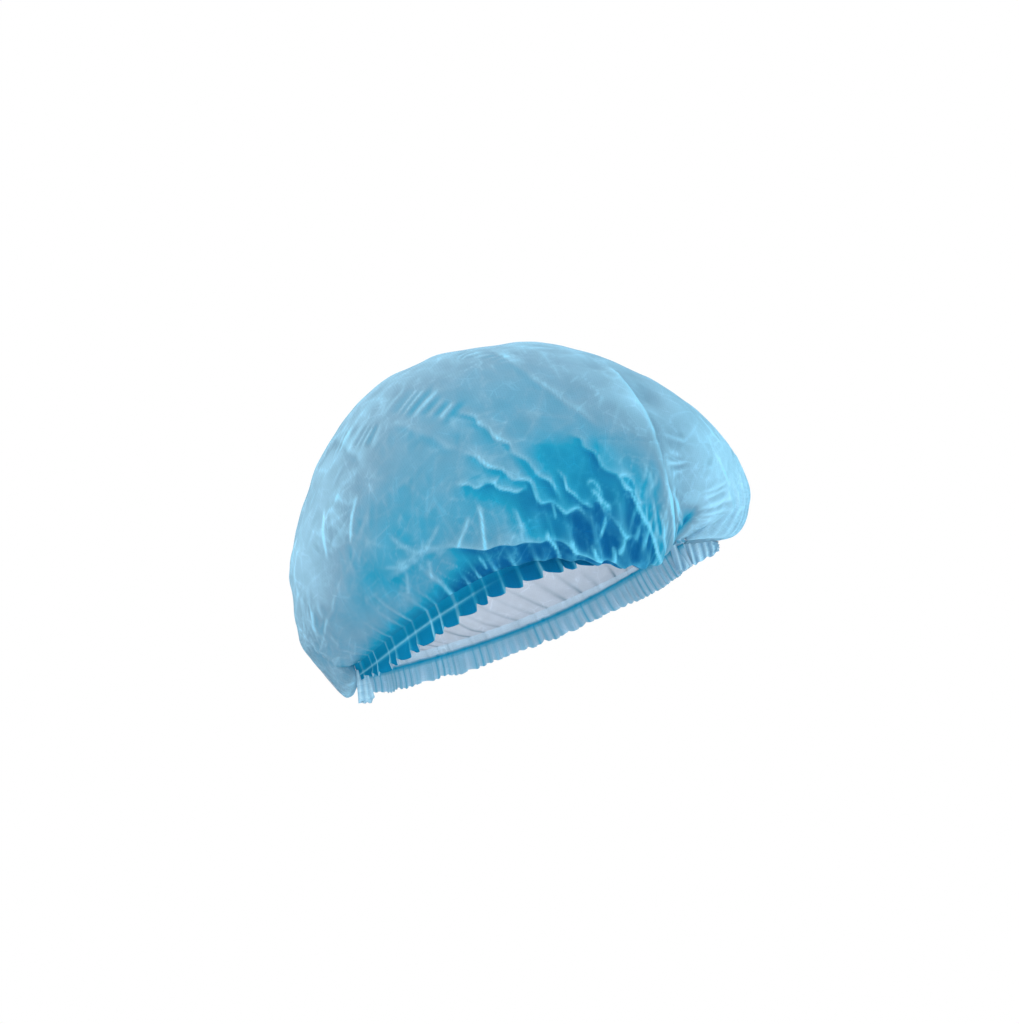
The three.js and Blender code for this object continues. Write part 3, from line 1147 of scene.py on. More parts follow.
class SheetMesh:
    """Grid of cloth turned into a mesh object with its masks and its cloth coordinates.

    PALE is the shade of cloth with no depth, LIFT how far a painted highlight on a sharp fold lightens it,
    and
    HIGHLIGHT_STRENGTH and SHARPNESS how strongly and how narrowly such a fold takes the highlight colour.
    """

    PALE = 0.2
    LIFT = 0.35
    HIGHLIGHT_STRENGTH = 0.75
    SHARPNESS = 1.8

    @classmethod
    def build(cls, name: str, grid: Array, masks: tuple[Array, Array, Array],
              closed: bool = False) -> bpy.types.Object:
        """Make the object.

        Args:
            name: Name of the piece.
            grid: Places in millimetres, rows by columns by three.
            masks: For each point, its tone with painted shade and light, its painted highlight on outward
            folds, and the painted shade in the inner side's folds, each from 0 to 1.
            closed: Whether the last column joins the first.

        Returns:
            The new object, linked to the scene.
        """
        rows, columns = grid.shape[:2]
        index = np.arange(rows * columns).reshape(rows, columns)
        right = np.roll(index, -1, axis=1) if closed else index[:, 1:]
        left = index if closed else index[:, :-1]
        quads = np.stack([left[:-1], left[1:], right[1:], right[:-1]], axis=-1).reshape(-1, 4)
        mesh = bpy.data.meshes.new(name)
        mesh.from_pydata((grid.reshape(-1, 3) * MM).tolist(), [], quads.tolist())
        tone_and_shade, ridge_highlight, seam = (np.clip(mask, 0.0, 1.0) for mask in masks)
        # Painted shade deepens the tone along the ramp; painted highlight lifts it and mixes in the highlight
        # colour.
        shade = cls.PALE + (1.0 - cls.PALE) * tone_and_shade - cls.LIFT * ridge_highlight
        highlight_share = cls.HIGHLIGHT_STRENGTH * ridge_highlight**cls.SHARPNESS
        for label, values in (("shade", shade), ("ridge_highlight", highlight_share), ("seam", seam)):
            layer = mesh.attributes.new(label, "FLOAT", "POINT")
            layer.data.foreach_set("value", np.clip(values, 0.0, 1.0).astype(np.float32).ravel())
        uv = mesh.uv_layers.new(name=CLOTH_MAP)
        corners = np.empty(len(mesh.loops), dtype=np.int32)
        mesh.loops.foreach_get("vertex_index", corners)
        flat = cloth_coordinates(grid).reshape(-1, 2) * MM
        uv.data.foreach_set("uv", flat[corners].astype(np.float32).ravel())
        mesh.shade_smooth()
        mesh.update()
        piece = bpy.data.objects.new(name, mesh)
        bpy.context.scene.collection.objects.link(piece)
        return piece


@dataclass
class Crown:
    """The puffed cloth between the two edges of the opening.

    steps_along, steps_near and steps_far size its grid, end is the along where it stops, and crowding and
    rim_crowding draw its rows and columns together. Swells have their sizes and heights, with calmer patches
    of calm_size. Straight creases have families, a range of pitches and patches of crease_patch.
    end_pleats_round pleats run into each gather, lower at the nape. Gathers at the rim turn outwards over
    gather_lean, darken over gather_shade, and fade over the range lines_fade of along. Other folds fade over
    rim_calm degrees, and hollow_passes sets how wide a hollow counts. ground is the cloth's own depth of
    shade, and flat and spread_area are the cut sheet's sides and the area that is spread, in metres; neither
    is used.
    """

    form: CapForm
    pleats: dict[Side, RimPleats]
    steps_along: int = 400
    steps_near: int = 150
    steps_far: int = 88
    end: float = 0.998
    crowding: float = 0.2
    rim_crowding: float = 0.55
    calm_size: float = 55.0
    swell_sizes: tuple[float, float, float] = (30.0, 24.0, 48.0)
    swell_heights: tuple[float, float] = (0.8, 1.6)
    crease_families: int = 6
    crease_pitches: tuple[float, float] = (18.0, 46.0)
    crease_patch: float = 34.0
    end_pleats_round: float = 15.0
    end_pleat_heights: tuple[float, float] = (0.5, 0.9)
    gather_lean: float = 14.0
    gather_shade: float = 9.0
    lines_fade: tuple[float, float] = (0.4, 0.66)
    rim_calm: float = 5.0
    hollow_passes: int = 14
    ground: float = 0.32
    flat: tuple[float, float] = (0.39, 0.475)
    spread_area: float = 0.138
    facets: tuple[Facets, ...] = (
        Facets(pitch=26.0, height=2.4, painted_highlight=0.3, seed=1),
        Facets(pitch=13.0, height=1.1, painted_highlight=0.3, seed=2),
        Facets(pitch=8.0, height=0.5, painted_highlight=0.2, seed=3),
    )
    overhangs: tuple[Overhang, ...] = (
        Overhang(),
        Overhang(start=0.06, full=0.34, last=0.56, stop=0.74, out=1.5, sag=11.0, scallop=0.1),
    )
    folds: tuple[Fold, ...] = (
        Fold((0.38, 92.0), (0.46, 52.0), 1.6, 9.0),
        Fold((0.46, 52.0), (0.56, 26.0), 2.0, 10.0),
        Fold((0.56, 26.0), (0.66, 10.0), 4.5, 11.0),
        Fold((-0.7, 45.0), (-0.7, 135.0), 4.5, 28.0),
        Fold((-0.95, 40.0), (-0.95, 140.0), 2.0, 16.0),
        Fold((-0.84, 11.0), (-0.95, 13.0), -4.5, 7.0),
        Fold((-0.48, 40.0), (-0.24, 34.0), 3.0, 16.0),
        Fold((-0.58, 20.0), (-0.45, 27.0), 3.0, 12.0),
        Fold((-0.08, 88.0), (0.26, 98.0), 3.0, 13.0),
        Fold((0.32, 112.0), (0.52, 152.0), 5.0, 16.0),
        Fold((-0.5, 148.0), (-0.22, 155.0), 4.0, 15.0),
        Fold((-0.3, 20.0), (0.1, 17.0), -3.0, 12.0),
    )
    ledges: tuple[Ledge, ...] = (
        Ledge(((0.12, 72.0), (0.16, 57.0), (0.21, 46.0), (0.3, 34.0)), LONG_EDGE, 1),
        Ledge(((0.0, 49.0), (0.07, 33.0), (0.11, 25.0), (0.17, 17.0)), RUFFLE, 2),
        Ledge(((-0.03, 37.0), (0.02, 28.0), (0.08, 23.0), (0.12, 17.5), (0.24, 15.0)), RUFFLE, 3),
        Ledge(((-0.08, 29.0), (-0.03, 25.0), (0.04, 26.0)), LOW_RUFFLE, 4),
        Ledge(((-0.01, 27.0), (0.03, 22.0), (0.09, 21.0)), LOW_RUFFLE, 5),
        Ledge(((0.16, 25.0), (0.19, 19.0), (0.25, 16.0)), LOW_RUFFLE, 6),
        Ledge(((0.24, 18.5), (0.31, 14.0), (0.39, 12.0)), LOW_RUFFLE, 7),
        Ledge(((0.22, 35.0), (0.29, 24.0), (0.36, 19.0), (0.4, 15.0)), RUFFLE, 8),
        Ledge(((0.39, 18.0), (0.43, 12.5), (0.48, 8.5)), LOW_RUFFLE, 19),
        Ledge(((0.45, 17.0), (0.48, 12.0), (0.52, 8.0)), LOW_RUFFLE, 20),
        Ledge(((0.32, 21.0), (0.36, 22.0), (0.39, 16.0)), LOW_RUFFLE, 9),
        Ledge(((0.57, 9.0), (0.5, 20.0), (0.46, 30.0), (0.42, 46.0), (0.36, 66.0)), BROW_EDGE, 10),
        Ledge(((-0.4, 19.0), (-0.3, 18.0), (-0.2, 17.0), (-0.13, 14.5)), LONG_EDGE, 21),
        Ledge(((-0.19, 16.5), (-0.1, 13.0), (-0.04, 12.2), (0.03, 12.0), (0.13, 12.0)), OVERHANG, 11),
        Ledge(((0.08, 12.2), (0.14, 11.2), (0.2, 9.4), (0.3, 8.6), (0.42, 8.0)), OVERHANG, 12),
        Ledge(((-0.29, 77.0), (-0.27, 60.0), (-0.26, 50.0)), SOFT_EDGE, 13),
        Ledge(((-0.16, 56.0), (-0.09, 44.0), (-0.04, 36.0)), SOFT_EDGE, 14),
        Ledge(((0.42, 122.0), (0.3, 132.0), (0.16, 140.0), (0.0, 146.0), (-0.16, 150.0)), SOFT_EDGE, 15),
        Ledge(((0.2, 150.0), (0.06, 156.0), (-0.1, 160.0), (-0.28, 163.0)), SOFT_EDGE, 16),
        Ledge(((0.1, 112.0), (-0.08, 122.0), (-0.24, 128.0), (-0.4, 136.0)), SOFT_EDGE, 17),
        Ledge(((0.56, 140.0), (0.42, 152.0), (0.3, 160.0), (0.16, 166.0)), LONG_EDGE, 18),
    )
    flutes: tuple[FluteRow, ...] = (
        FluteRow(((-0.14, 63.0), (-0.08, 56.0), (-0.04, 51.0), (0.01, 46.0)), 6.6, 1.5, 14.0, 0.1, 1),
        FluteRow(((-0.29, 70.0), (-0.25, 63.0), (-0.21, 57.0), (-0.18, 54.0)), 6.2, 1.1, 13.0, 0.1, 2),
        FluteRow(((0.04, 69.0), (0.08, 68.0), (0.15, 61.0)), 6.0, 0.6, 9.0, 0.5, 3),
        FluteRow(((0.5, 40.0), (0.53, 30.0), (0.57, 22.0)), 6.0, 0.6, 10.0, 0.3, 4),
        FluteRow(((0.66, 28.0), (0.74, 22.0), (0.88, 16.0)), 7.0, 0.7, 14.0, 0.3, 5),
        FluteRow(((0.34, 16.0), (0.42, 13.0), (0.52, 11.0)), 5.0, 0.9, 11.0, 0.2, 11),
        FluteRow(((0.2, 118.0), (0.1, 124.0), (-0.1, 131.0)), 7.4, 0.7, 16.0, 0.1, 6),
        FluteRow(((-0.2, 146.0), (-0.32, 142.0), (-0.44, 136.0)), 7.0, 0.7, 15.0, 0.1, 7),
    )
    creases: tuple[Crease, ...] = (
        Crease(((-0.05, 22.5), (-0.06, 17.0), (-0.09, 11.5)), 1.2, painted_highlight=0.8),
        Crease(((-0.08, 20.5), (-0.12, 17.0), (-0.16, 14.5)), 0.8),
        Crease(((0.03, 19.0), (0.035, 15.0), (0.03, 12.0)), 0.8, painted_highlight=0.4),
        Crease(((0.1, 14.0), (0.1, 12.0), (0.13, 9.5)), 1.0, painted_highlight=0.8),
        Crease(((0.16, 12.5), (0.17, 10.0), (0.185, 8.8)), 1.0, painted_highlight=0.9),
        Crease(((0.22, 11.5), (0.23, 9.8), (0.255, 9.0)), 1.0, painted_highlight=0.9),
        Crease(((0.285, 11.8), (0.29, 8.6)), 1.0, painted_highlight=0.8),
        Crease(((0.28, 15.6), (0.245, 12.4)), 0.9, painted_highlight=0.6),
        Crease(((0.325, 13.0), (0.295, 10.6)), 1.0, painted_highlight=0.7),
        Crease(((0.13, 18.0), (0.13, 15.0)), 0.8, painted_highlight=0.5),
        Crease(((0.235, 20.0), (0.265, 18.0), (0.3, 16.3)), 1.0, painted_highlight=0.6),
        Crease(((-0.24, 17.5), (-0.16, 22.0)), 0.7, painted_highlight=0.25),
        Crease(((-0.24, 17.5), (-0.29, 24.0), (-0.3, 30.0)), 0.7, painted_highlight=0.25),
        Crease(((-0.29, 18.0), (-0.37, 22.0)), 0.6, painted_highlight=0.25),
        Crease(((-0.31, 18.0), (-0.36, 12.0)), 0.7, painted_highlight=0.3),
        Crease(((-0.24, 17.0), (-0.27, 11.0)), 0.7, painted_highlight=0.35),
        Crease(((-0.11, 11.5), (-0.1, 7.0)), 0.8, painted_highlight=0.6),
        Crease(((-0.4, 56.0), (-0.5, 44.0)), 0.9),
        Crease(((-0.4, 56.0), (-0.32, 40.0)), -0.9),
        Crease(((-0.31, 47.0), (-0.42, 38.0)), 0.8),
        Crease(((0.34, 21.0), (0.39, 16.0), (0.44, 12.0), (0.5, 7.0)), 1.4, painted_highlight=1.0),
        Crease(((0.48, 22.0), (0.5, 17.5), (0.56, 12.0), (0.6, 7.0)), 1.6, painted_highlight=1.0),
        Crease(((0.52, 19.0), (0.59, 14.0), (0.72, 9.5)), 1.2, painted_highlight=0.6),
        Crease(((0.56, 12.0), (0.58, 13.0), (0.64, 7.0)), 1.2, painted_highlight=0.6),
        Crease(((0.5, 20.0), (0.56, 16.5), (0.63, 13.0)), 1.1),
        Crease(((0.23, 20.0), (0.25, 21.0), (0.28, 18.0)), 0.9),
        Crease(((0.42, 19.0), (0.46, 12.0)), 1.2),
        Crease(((0.66, 40.0), (0.78, 30.0)), 0.8),
        Crease(((0.6, 60.0), (0.7, 48.0)), 0.7),
    )
    scatters: tuple[Scatter, ...] = (
        Scatter((-0.75, -0.3), (28.0, 78.0), 46, (8.0, 24.0), 0.7, 0.0, 28.0, 1),
        Scatter((-0.5, 0.0), (14.0, 56.0), 70, (5.0, 15.0), 0.45, 10.0, 60.0, 2),
        Scatter((0.52, 0.95), (12.0, 66.0), 28, (8.0, 22.0), 0.55, -30.0, 30.0, 3),
        Scatter((-0.95, -0.62), (12.0, 50.0), 22, (8.0, 18.0), 0.6, 20.0, 35.0, 4),
        Scatter((0.36, 0.54), (8.0, 24.0), 46, (5.0, 14.0), 0.9, -12.0, 22.0, 5),
        Scatter((-0.2, 0.45), (30.0, 84.0), 44, (6.0, 16.0), 0.45, 20.0, 50.0, 6),
        Scatter((-0.6, 0.6), (84.0, 116.0), 34, (8.0, 22.0), 0.6, 0.0, 60.0, 7),
        Scatter((-0.85, 0.9), (112.0, 166.0), 84, (8.0, 22.0), 0.7, 0.0, 35.0, 8),
    )
    # Patches of painted shade in hollows, under the overhang and along the rims, and of painted light
    # (negative strengths) on the lit left side, the top and the brow.
    shades: tuple[Shade, ...] = (
        Shade(0.28, 19.0, 0.19, 13.0, 0.46),
        Shade(0.3, 11.0, 0.12, 5.0, 0.25),
        Shade(0.06, 7.0, 0.2, 3.5, 0.22),
        Shade(0.28, 8.0, 0.16, 6.0, 0.65),
        Shade(0.08, 17.0, 0.07, 5.0, 0.3),
        Shade(0.16, 29.0, 0.06, 5.0, 0.2),
        Shade(0.68, 8.0, 0.09, 4.5, 0.6),
        Shade(0.66, 12.0, 0.06, 4.0, 0.5),
        Shade(-0.5, 5.0, 0.46, 4.6, 0.36),
        Shade(-0.93, 9.0, 0.08, 6.0, 0.2),
        Shade(0.0, 5.0, 0.22, 4.5, 0.75),
        Shade(0.3, 5.0, 0.2, 3.0, 0.4),
        Shade(-0.24, 30.0, 0.26, 18.0, 0.14),
        Shade(-0.4, 22.0, 0.22, 10.0, 0.16),
        Shade(-0.1, 17.0, 0.14, 8.0, 0.12),
        Shade(0.08, 48.0, 0.2, 15.0, 0.1),
        Shade(0.36, 50.0, 0.12, 22.0, -0.06),
        Shade(-0.6, 56.0, 0.26, 30.0, -0.19),
        Shade(0.8, 40.0, 0.26, 44.0, -0.38),
        Shade(0.1, 96.0, 0.6, 26.0, -0.24),
        Shade(-0.32, 60.0, 0.16, 16.0, -0.04),
        Shade(-0.34, 18.0, 0.12, 7.0, 0.1),
        Shade(0.52, 24.0, 0.06, 8.0, -0.28),
        Shade(0.42, 46.0, 0.07, 8.0, -0.12),
        Shade(-0.02, 26.0, 0.05, 5.0, 0.14),
        Shade(0.28, 28.0, 0.04, 4.0, 0.12),
        Shade(-0.1, 172.0, 0.5, 8.0, 0.3),
        Shade(-0.2, 150.0, 0.2, 10.0, 0.25),
        Shade(0.3, 150.0, 0.2, 12.0, 0.3),
        Shade(-0.6, 122.0, 0.25, 30.0, -0.2),
    )

    def lattice(self) -> tuple[Array, Array]:
        """Grid of the cloth, closer together near the edges, where the folds are finer.

        Returns:
            Along and turn of each point, rows by columns.
        """
        even = np.linspace(-1.0, 1.0, self.steps_along + 1)
        along = self.end * even * (1.0 + self.crowding - self.crowding * even**2)
        turns = []
        for steps in (self.steps_near, self.steps_far):
            share = np.linspace(0.0, 1.0, steps + 1)
            share = share * (1.0 - self.rim_crowding + self.rim_crowding * share)
            turns.append(self.form.rim_turn + (90.0 - self.form.rim_turn) * share)
        return np.meshgrid(along, np.concatenate([turns[0], 180.0 - turns[1][-2::-1]]), indexing="ij")

    def crumple(self, relief: Relief) -> None:
        """Add the crushed look of thin cloth: broad swells and flat facets of three sizes.

        Args:
            relief: Cloth to disturb.
        """
        coarse, fine = LatticeNoise(3), LatticeNoise(8)
        sizes, heights = self.swell_sizes, self.swell_heights
        calm = 0.65 + 0.35 * np.clip(2.0 * LatticeNoise(30).at(relief.points / self.calm_size), -1.0, 1.0)
        ridged = np.abs(coarse.at(relief.points / sizes[0])) - np.abs(fine.at(relief.points / sizes[1] + 7.0))
        broad = coarse.at(relief.points / sizes[2] + 11.0)
        relief.rise += heights[0] * calm * ridged + heights[1] * broad
        for facets in self.facets:
            facets.press(relief, calm)

    def straight_creases(self, relief: Relief) -> None:
        """Add patches of straight creases, each family cut by parallel planes.

        Args:
            relief: Cloth to disturb.
        """
        rng = np.random.default_rng(17)
        for family in range(self.crease_families):
            heading = unit(rng.normal(size=3) * (1.0, 0.7, 0.7))
            pitch = rng.uniform(*self.crease_pitches)
            place = relief.points @ heading / pitch + rng.uniform()
            gap = np.abs(place - np.round(place))
            patch = smoothstep(LatticeNoise(100 + family).at(relief.points / self.crease_patch), 0.05, 0.5)
            relief.rise += 0.045 * pitch * patch * (0.2 - gap)
            # Painted highlight along each of the lines.
            relief.ridge_highlight += 0.1 * patch * np.exp(-((gap * pitch / 0.8) ** 2))

    def end_pleats(self, relief: Relief, along: Array, turn: Array) -> None:
        """Add the pleats that run into the two gathers.

        Args:
            relief: Cloth to disturb.
            along: Along of each point.
            turn: Turn of each point.
        """
        wander = LatticeNoise(14).at(relief.points / 30.0)
        round_share = (turn - self.form.rim_turn) / (180.0 - 2.0 * self.form.rim_turn)
        phase = self.end_pleats_round * round_share + 0.9 * wander
        distance = np.abs(along)
        nape, brow = self.end_pleat_heights
        size = np.where(along > 0.0, brow, nape) * smoothstep(distance, 0.6, 0.9)
        size *= 1.0 - 0.6 * smoothstep(distance, 0.95, 1.0)
        ridge = (0.5 + 0.5 * np.cos(2 * math.pi * phase)) ** 1.6
        relief.rise += size * (1.0 + 0.9 * wander) * (ridge - 0.4)

    def rim_gathers(self, relief: Relief, grid: Array, along: Array) -> None:
        """Add the gathers above both elastic edges; they are shorter near the ends, where their lines fade.

        Args:
            relief: Cloth to disturb.
            grid: Smooth places, rows by columns.
            along: Along of each place.
        """
        drawn = 1.0 - 0.9 * smoothstep(np.abs(along), *self.lines_fade)
        steps = np.linalg.norm(np.diff(grid, axis=1), axis=2)
        up = np.concatenate([np.zeros((len(grid), 1)), np.cumsum(steps, axis=1)], axis=1)
        for side, height in ((Side.NEAR, up), (Side.FAR, up[:, -1:] - up)):
            pleats = self.pleats[side]
            line = grid[:, 0 if side is Side.NEAR else -1]
            phase = pleats.phase(edge_run(line)[:, None] + pleats.slant * height)
            reach = pleats.pick(phase, *pleats.reach, 1) * (0.45 + 0.55 * drawn)
            fall = np.exp(-height / reach)
            out = edge_outward(line, side, self.form)
            lean = smoothstep(height, 0.0, self.gather_lean)[..., None]
            heading = unit(out[:, None, :] * (1.0 - lean) + relief.outward.reshape(grid.shape) * lean)
            push = pleats.rise_edge * pleats.wave(phase) * fall
            relief.shift += (heading * push[..., None]).reshape(-1, 3)
            ridge = pleats.ridge(phase)
            # Painted highlight on the gathers' ridges, painted shade along them on the inner side, and
            # painted shade between them near the rim.
            lines = (ridge**2 * pleats.pick(phase, 0.2, 1.0, 2) * fall * drawn).ravel()
            relief.ridge_highlight += lines
            relief.seam += 1.5 * lines
            relief.tone_and_shade += (0.08 * (1.0 - ridge) * np.exp(-height / self.gather_shade)).ravel()

    def cavities(self, relief: Relief, shape: tuple[int, int]) -> None:
        """Add painted highlight on sharp outward folds and painted shade in hollows.

        Args:
            relief: Cloth with all its folds.
            shape: Rows and columns of its grid.
        """
        moved = relief.moved().reshape(*shape, 3)
        level = moved.copy()
        for _ in range(self.hollow_passes):
            ease(level)
        height = np.einsum("ij,ij->i", (moved - level).reshape(-1, 3), relief.outward)
        relief.ridge_highlight += np.clip(0.45 * height, 0.0, 0.25)
        relief.tone_and_shade += np.clip(-0.15 * height, 0.0, 0.1)

    def make(self) -> tuple[bpy.types.Object, Array]:
        """Build the cloth.

        Returns:
            The piece, and its grid of places in millimetres.
        """
        rows, columns = self.lattice()
        along, turn = rows.ravel(), columns.ravel()
        grid = self.form.points(rows, columns)
        relief = Relief(grid.reshape(-1, 3), self.form.outward(along, turn))
        for feature in (*self.folds, *self.ledges, *self.flutes, *self.creases, *self.scatters):
            feature.press(relief, self.form)
        self.crumple(relief)
        self.straight_creases(relief)
        self.end_pleats(relief, along, turn)
        from_rim = np.minimum(turn - self.form.rim_turn, 180.0 - self.form.rim_turn - turn)
        calm = smoothstep(from_rim, 0.0, self.rim_calm)
        calm = calm * (1.0 - 0.8 * smoothstep(np.abs(along), 0.93, self.end))
        relief.rise *= calm
        relief.shift *= calm[:, None]
        for roll in self.overhangs:
            roll.press(relief, self.form, along, turn)
        relief.soften(rows.shape)
        self.rim_gathers(relief, grid, rows)
        self.cavities(relief, rows.shape)
        # The cloth's own tone, plus patches of painted shade and painted light.
        relief.tone_and_shade += self.ground + sum(shade.paint(along, turn) for shade in self.shades)
        moved = relief.moved().reshape(grid.shape)
        closed = np.concatenate([gathered(moved[:1]), moved, gathered(moved[-1:])])
        layers = (layer.reshape(rows.shape) for layer in (relief.tone_and_shade, relief.ridge_highlight, relief.seam))
        masks = tuple(np.concatenate([layer[:1], layer, layer[-1:]]) for layer in layers)
        return SheetMesh.build("crown_cloth", closed, masks), moved


def edge_run(line: Array) -> Array:
    """Lengths along an edge, from its middle.

    Args:
        line: Places along the edge, from the nape to the forehead.

    Returns:
        One length for each place, below 0 before the middle.
    """
    steps = np.linalg.norm(np.diff(line, axis=0), axis=1)
    run = np.concatenate([[0.0], np.cumsum(steps)])
    return run - 0.5 * run[-1]


def edge_outward(line: Array, side: Side, form: CapForm) -> Array:
    """Outward directions of an edge, in the plane of the opening.

    Args:
        line: Places along the edge, from the nape to the forehead.
        side: Which edge it is.
        form: Form that gives the plane of the opening.

    Returns:
        One direction for each place.
    """
    heading = unit(np.gradient(line, axis=0))
    return unit(np.cross(form.up, heading) * side.value)


def cloth_coordinates(grid: Array) -> Array:
    """Lengths along and across a grid of cloth, in millimetres.

    Args:
        grid: Places, rows by columns by three.

    Returns:
        Rows by columns by two.
    """
    down = np.linalg.norm(np.diff(grid, axis=0), axis=2).mean(axis=1)
    over = np.linalg.norm(np.diff(grid, axis=1), axis=2)
    first = np.concatenate([[0.0], np.cumsum(down)])
    second = np.concatenate([np.zeros((len(grid), 1)), np.cumsum(over, axis=1)], axis=1)
    second -= second.mean(axis=1, keepdims=True)
    return np.stack([np.broadcast_to(first[:, None], second.shape), second], axis=-1)


@dataclass(frozen=True)
class HemTone:
    """Painted tone of a hem's outer layer: its ground, deeper on the near side as painted shade, the strength
    of its painted highlights, and how much paler its top is.
    """

    ground: float
    lines: float
    paler: float


HEM_TONES = {Side.NEAR: HemTone(0.78, 1.0, 0.12), Side.FAR: HemTone(0.46, 0.35, 0.0)}


@dataclass
class Hem:
    """Doubled edge of the sheet with a frill below its elastic thread.

    flare is how far the frill stands out. Its waves and its flare grow over from_end, and its drop over
    from_tail, both from its ends. bite is how near the thread the cloth is drawn in. On the near side the
    band gets painted shadow under the overhang and the last stretch is pale, over the ranges overhang_shade
    and last of along.
    """

    form: CapForm
    pleats: RimPleats
    side: Side
    thickness: float = 1.5
    thread_radius: float = 0.55
    flare: float = 1.6
    from_end: float = 14.0
    from_tail: float = 26.0
    bite: float = 0.75
    overhang_shade: tuple[float, float] = (-0.3, 0.0)
    last: tuple[float, float] = (0.5, 0.75)
    rows_frill: int = 9
    rows_band: int = 8

    def section(self) -> list[tuple[Layer, float, float]]:
        """Rows round the section.

        Returns:
            For each row its layer, its share of the band and its share of the frill.
        """
        turned = 1.0 - self.pleats.turned_up / self.pleats.thread_down
        frill = [(1.0, s) for s in np.linspace(0.0, 1.0, self.rows_frill + 1)[1:]]
        outer = [(s, 0.0) for s in np.linspace(0.0, 1.0, self.rows_band + 1)] + frill
        inner = [(s, 0.0) for s in np.linspace(turned, 1.0, self.rows_band + 1)] + frill
        return [(Layer.OUTER, *row) for row in outer] + [(Layer.INNER, *row) for row in inner[::-1]]

    def paint(self, layer: Layer, along: Array, phase: Array, place: tuple[float, float],
              thread: float) -> tuple[Array, Array]:
        """Painted shade and painted highlight of one row.

        Args:
            layer: Layer of the row.
            along: Along of each point.
            phase: Phase of the pleats.
            place: Shares of the band and of the frill.
            thread: How near the row is to the thread, 0 to 1.

        Returns:
            The two masks.
        """
        band, frill = place
        overhang_shade, last = np.zeros_like(along), np.zeros_like(along)
        if self.side is Side.NEAR:
            overhang_shade, last = smoothstep(along, *self.overhang_shade), smoothstep(along, *self.last)
        ridge, groove = self.pleats.ridge(phase), self.pleats.ridge(phase + 0.5) ** 3
        if layer is Layer.OUTER:
            # Outer layer: ground tone, painted light and painted highlight on pleat ridges and along the
            # thread, and painted shadow under the overhang.
            tone = HEM_TONES[self.side]
            ground = tone.ground - tone.paler * (1.0 - band)
            lines = ridge**5 * self.pleats.pick(phase, 0.5, 1.4, 6) * (0.5 + 0.8 * frill)
            ridge_highlight = tone.lines * (lines + 0.8 * thread * (1.0 - overhang_shade))
            tone_and_shade = ground - 0.1 * ridge + 0.12 * overhang_shade * (1.0 - 0.4 * frill) - 0.6 * last
        else:
            # Inner layer: painted highlight on the frill's ridges, and painted shade along the thread and in
            # the pleats' grooves.
            ridge_highlight = 0.5 * ridge * frill
            lines = 0.3 * groove * self.pleats.pick(phase, 0.0, 1.0, 5)
            tone_and_shade = (0.16 if frill > 0.0 else 0.14 * band) + 0.48 * thread + lines
        return tone_and_shade, ridge_highlight

    def make(self, smooth_edge: Array, crown_edge: Array, along: Array) -> bpy.types.Object:
        """Build the hem under the crown.

        Args:
            smooth_edge: Edge of the form without its gathers.
            crown_edge: The crown's own edge, which the outer layer starts from.
            along: Along of each point of the edge.

        Returns:
            The piece.
        """
        pleats = self.pleats
        run = edge_run(smooth_edge)
        phase = pleats.phase(run)
        out = edge_outward(smooth_edge, self.side, self.form)
        thread_drop, fold_drop = pleats.drops(along)
        to_end = 0.5 * (run[-1] - run[0]) - np.abs(run)
        ends = smoothstep(to_end, 0.0, self.from_end)
        settled = smoothstep(to_end, 0.0, self.from_tail)
        left = pleats.tail + (1.0 - pleats.tail) * settled
        fold_drop = thread_drop + left * (fold_drop - thread_drop)
        fine = phase * pleats.frills
        lobe = np.abs(np.sin(math.pi * fine)) * pleats.pick(fine, 0.3, 1.5, 3)
        ragged = pleats.pick(fine, -1.0, 1.0, 4) + pleats.saw * (fine - np.floor(fine) - 0.5)
        start = crown_edge - smooth_edge - out * (pleats.swell(0.0, 0.0) * pleats.wave(phase))[:, None]
        rows, tone_and_shade, ridge_highlight = [], [], []
        for layer, band, frill in self.section():
            outer = layer is Layer.OUTER
            pleat = fine if frill > 0.0 else phase
            above = (1.0 - band) * pleats.thread_down
            tight = math.exp(-((above / self.bite) ** 2) - (9.0 * frill) ** 2)
            push = pleats.swell(band, frill) * pleats.wave(pleat) * (0.35 + 0.65 * ends)
            push += self.flare * frill * ends
            push += 0.55 * tight * (self.thread_radius if outer else -self.thread_radius)
            push -= 0.0 if outer else self.thickness * (1.0 - 0.92 * frill**3)
            longer = frill * (0.35 + 0.65 * settled) * (pleats.scallop * (lobe - 0.6) + ragged)
            down = band * thread_drop + frill * (fold_drop - thread_drop + longer)
            place = smooth_edge + out * push[:, None] - np.outer(down, self.form.up)
            if outer:
                place = place + start * (1.0 - band)
            shades = self.paint(layer, along, pleat, (band, frill), tight)
            rows.append(place)
            tone_and_shade.append(shades[0])
            ridge_highlight.append(shades[1])
        order = slice(None) if self.side is Side.FAR else slice(None, None, -1)
        grid, tone_and_shade, ridge_highlight = (np.stack(part, axis=1)[:, order] for part in (rows, tone_and_shade, ridge_highlight))
        return SheetMesh.build(f"hem_cloth_{self.side.label}", grid, (tone_and_shade, ridge_highlight, ridge_highlight))


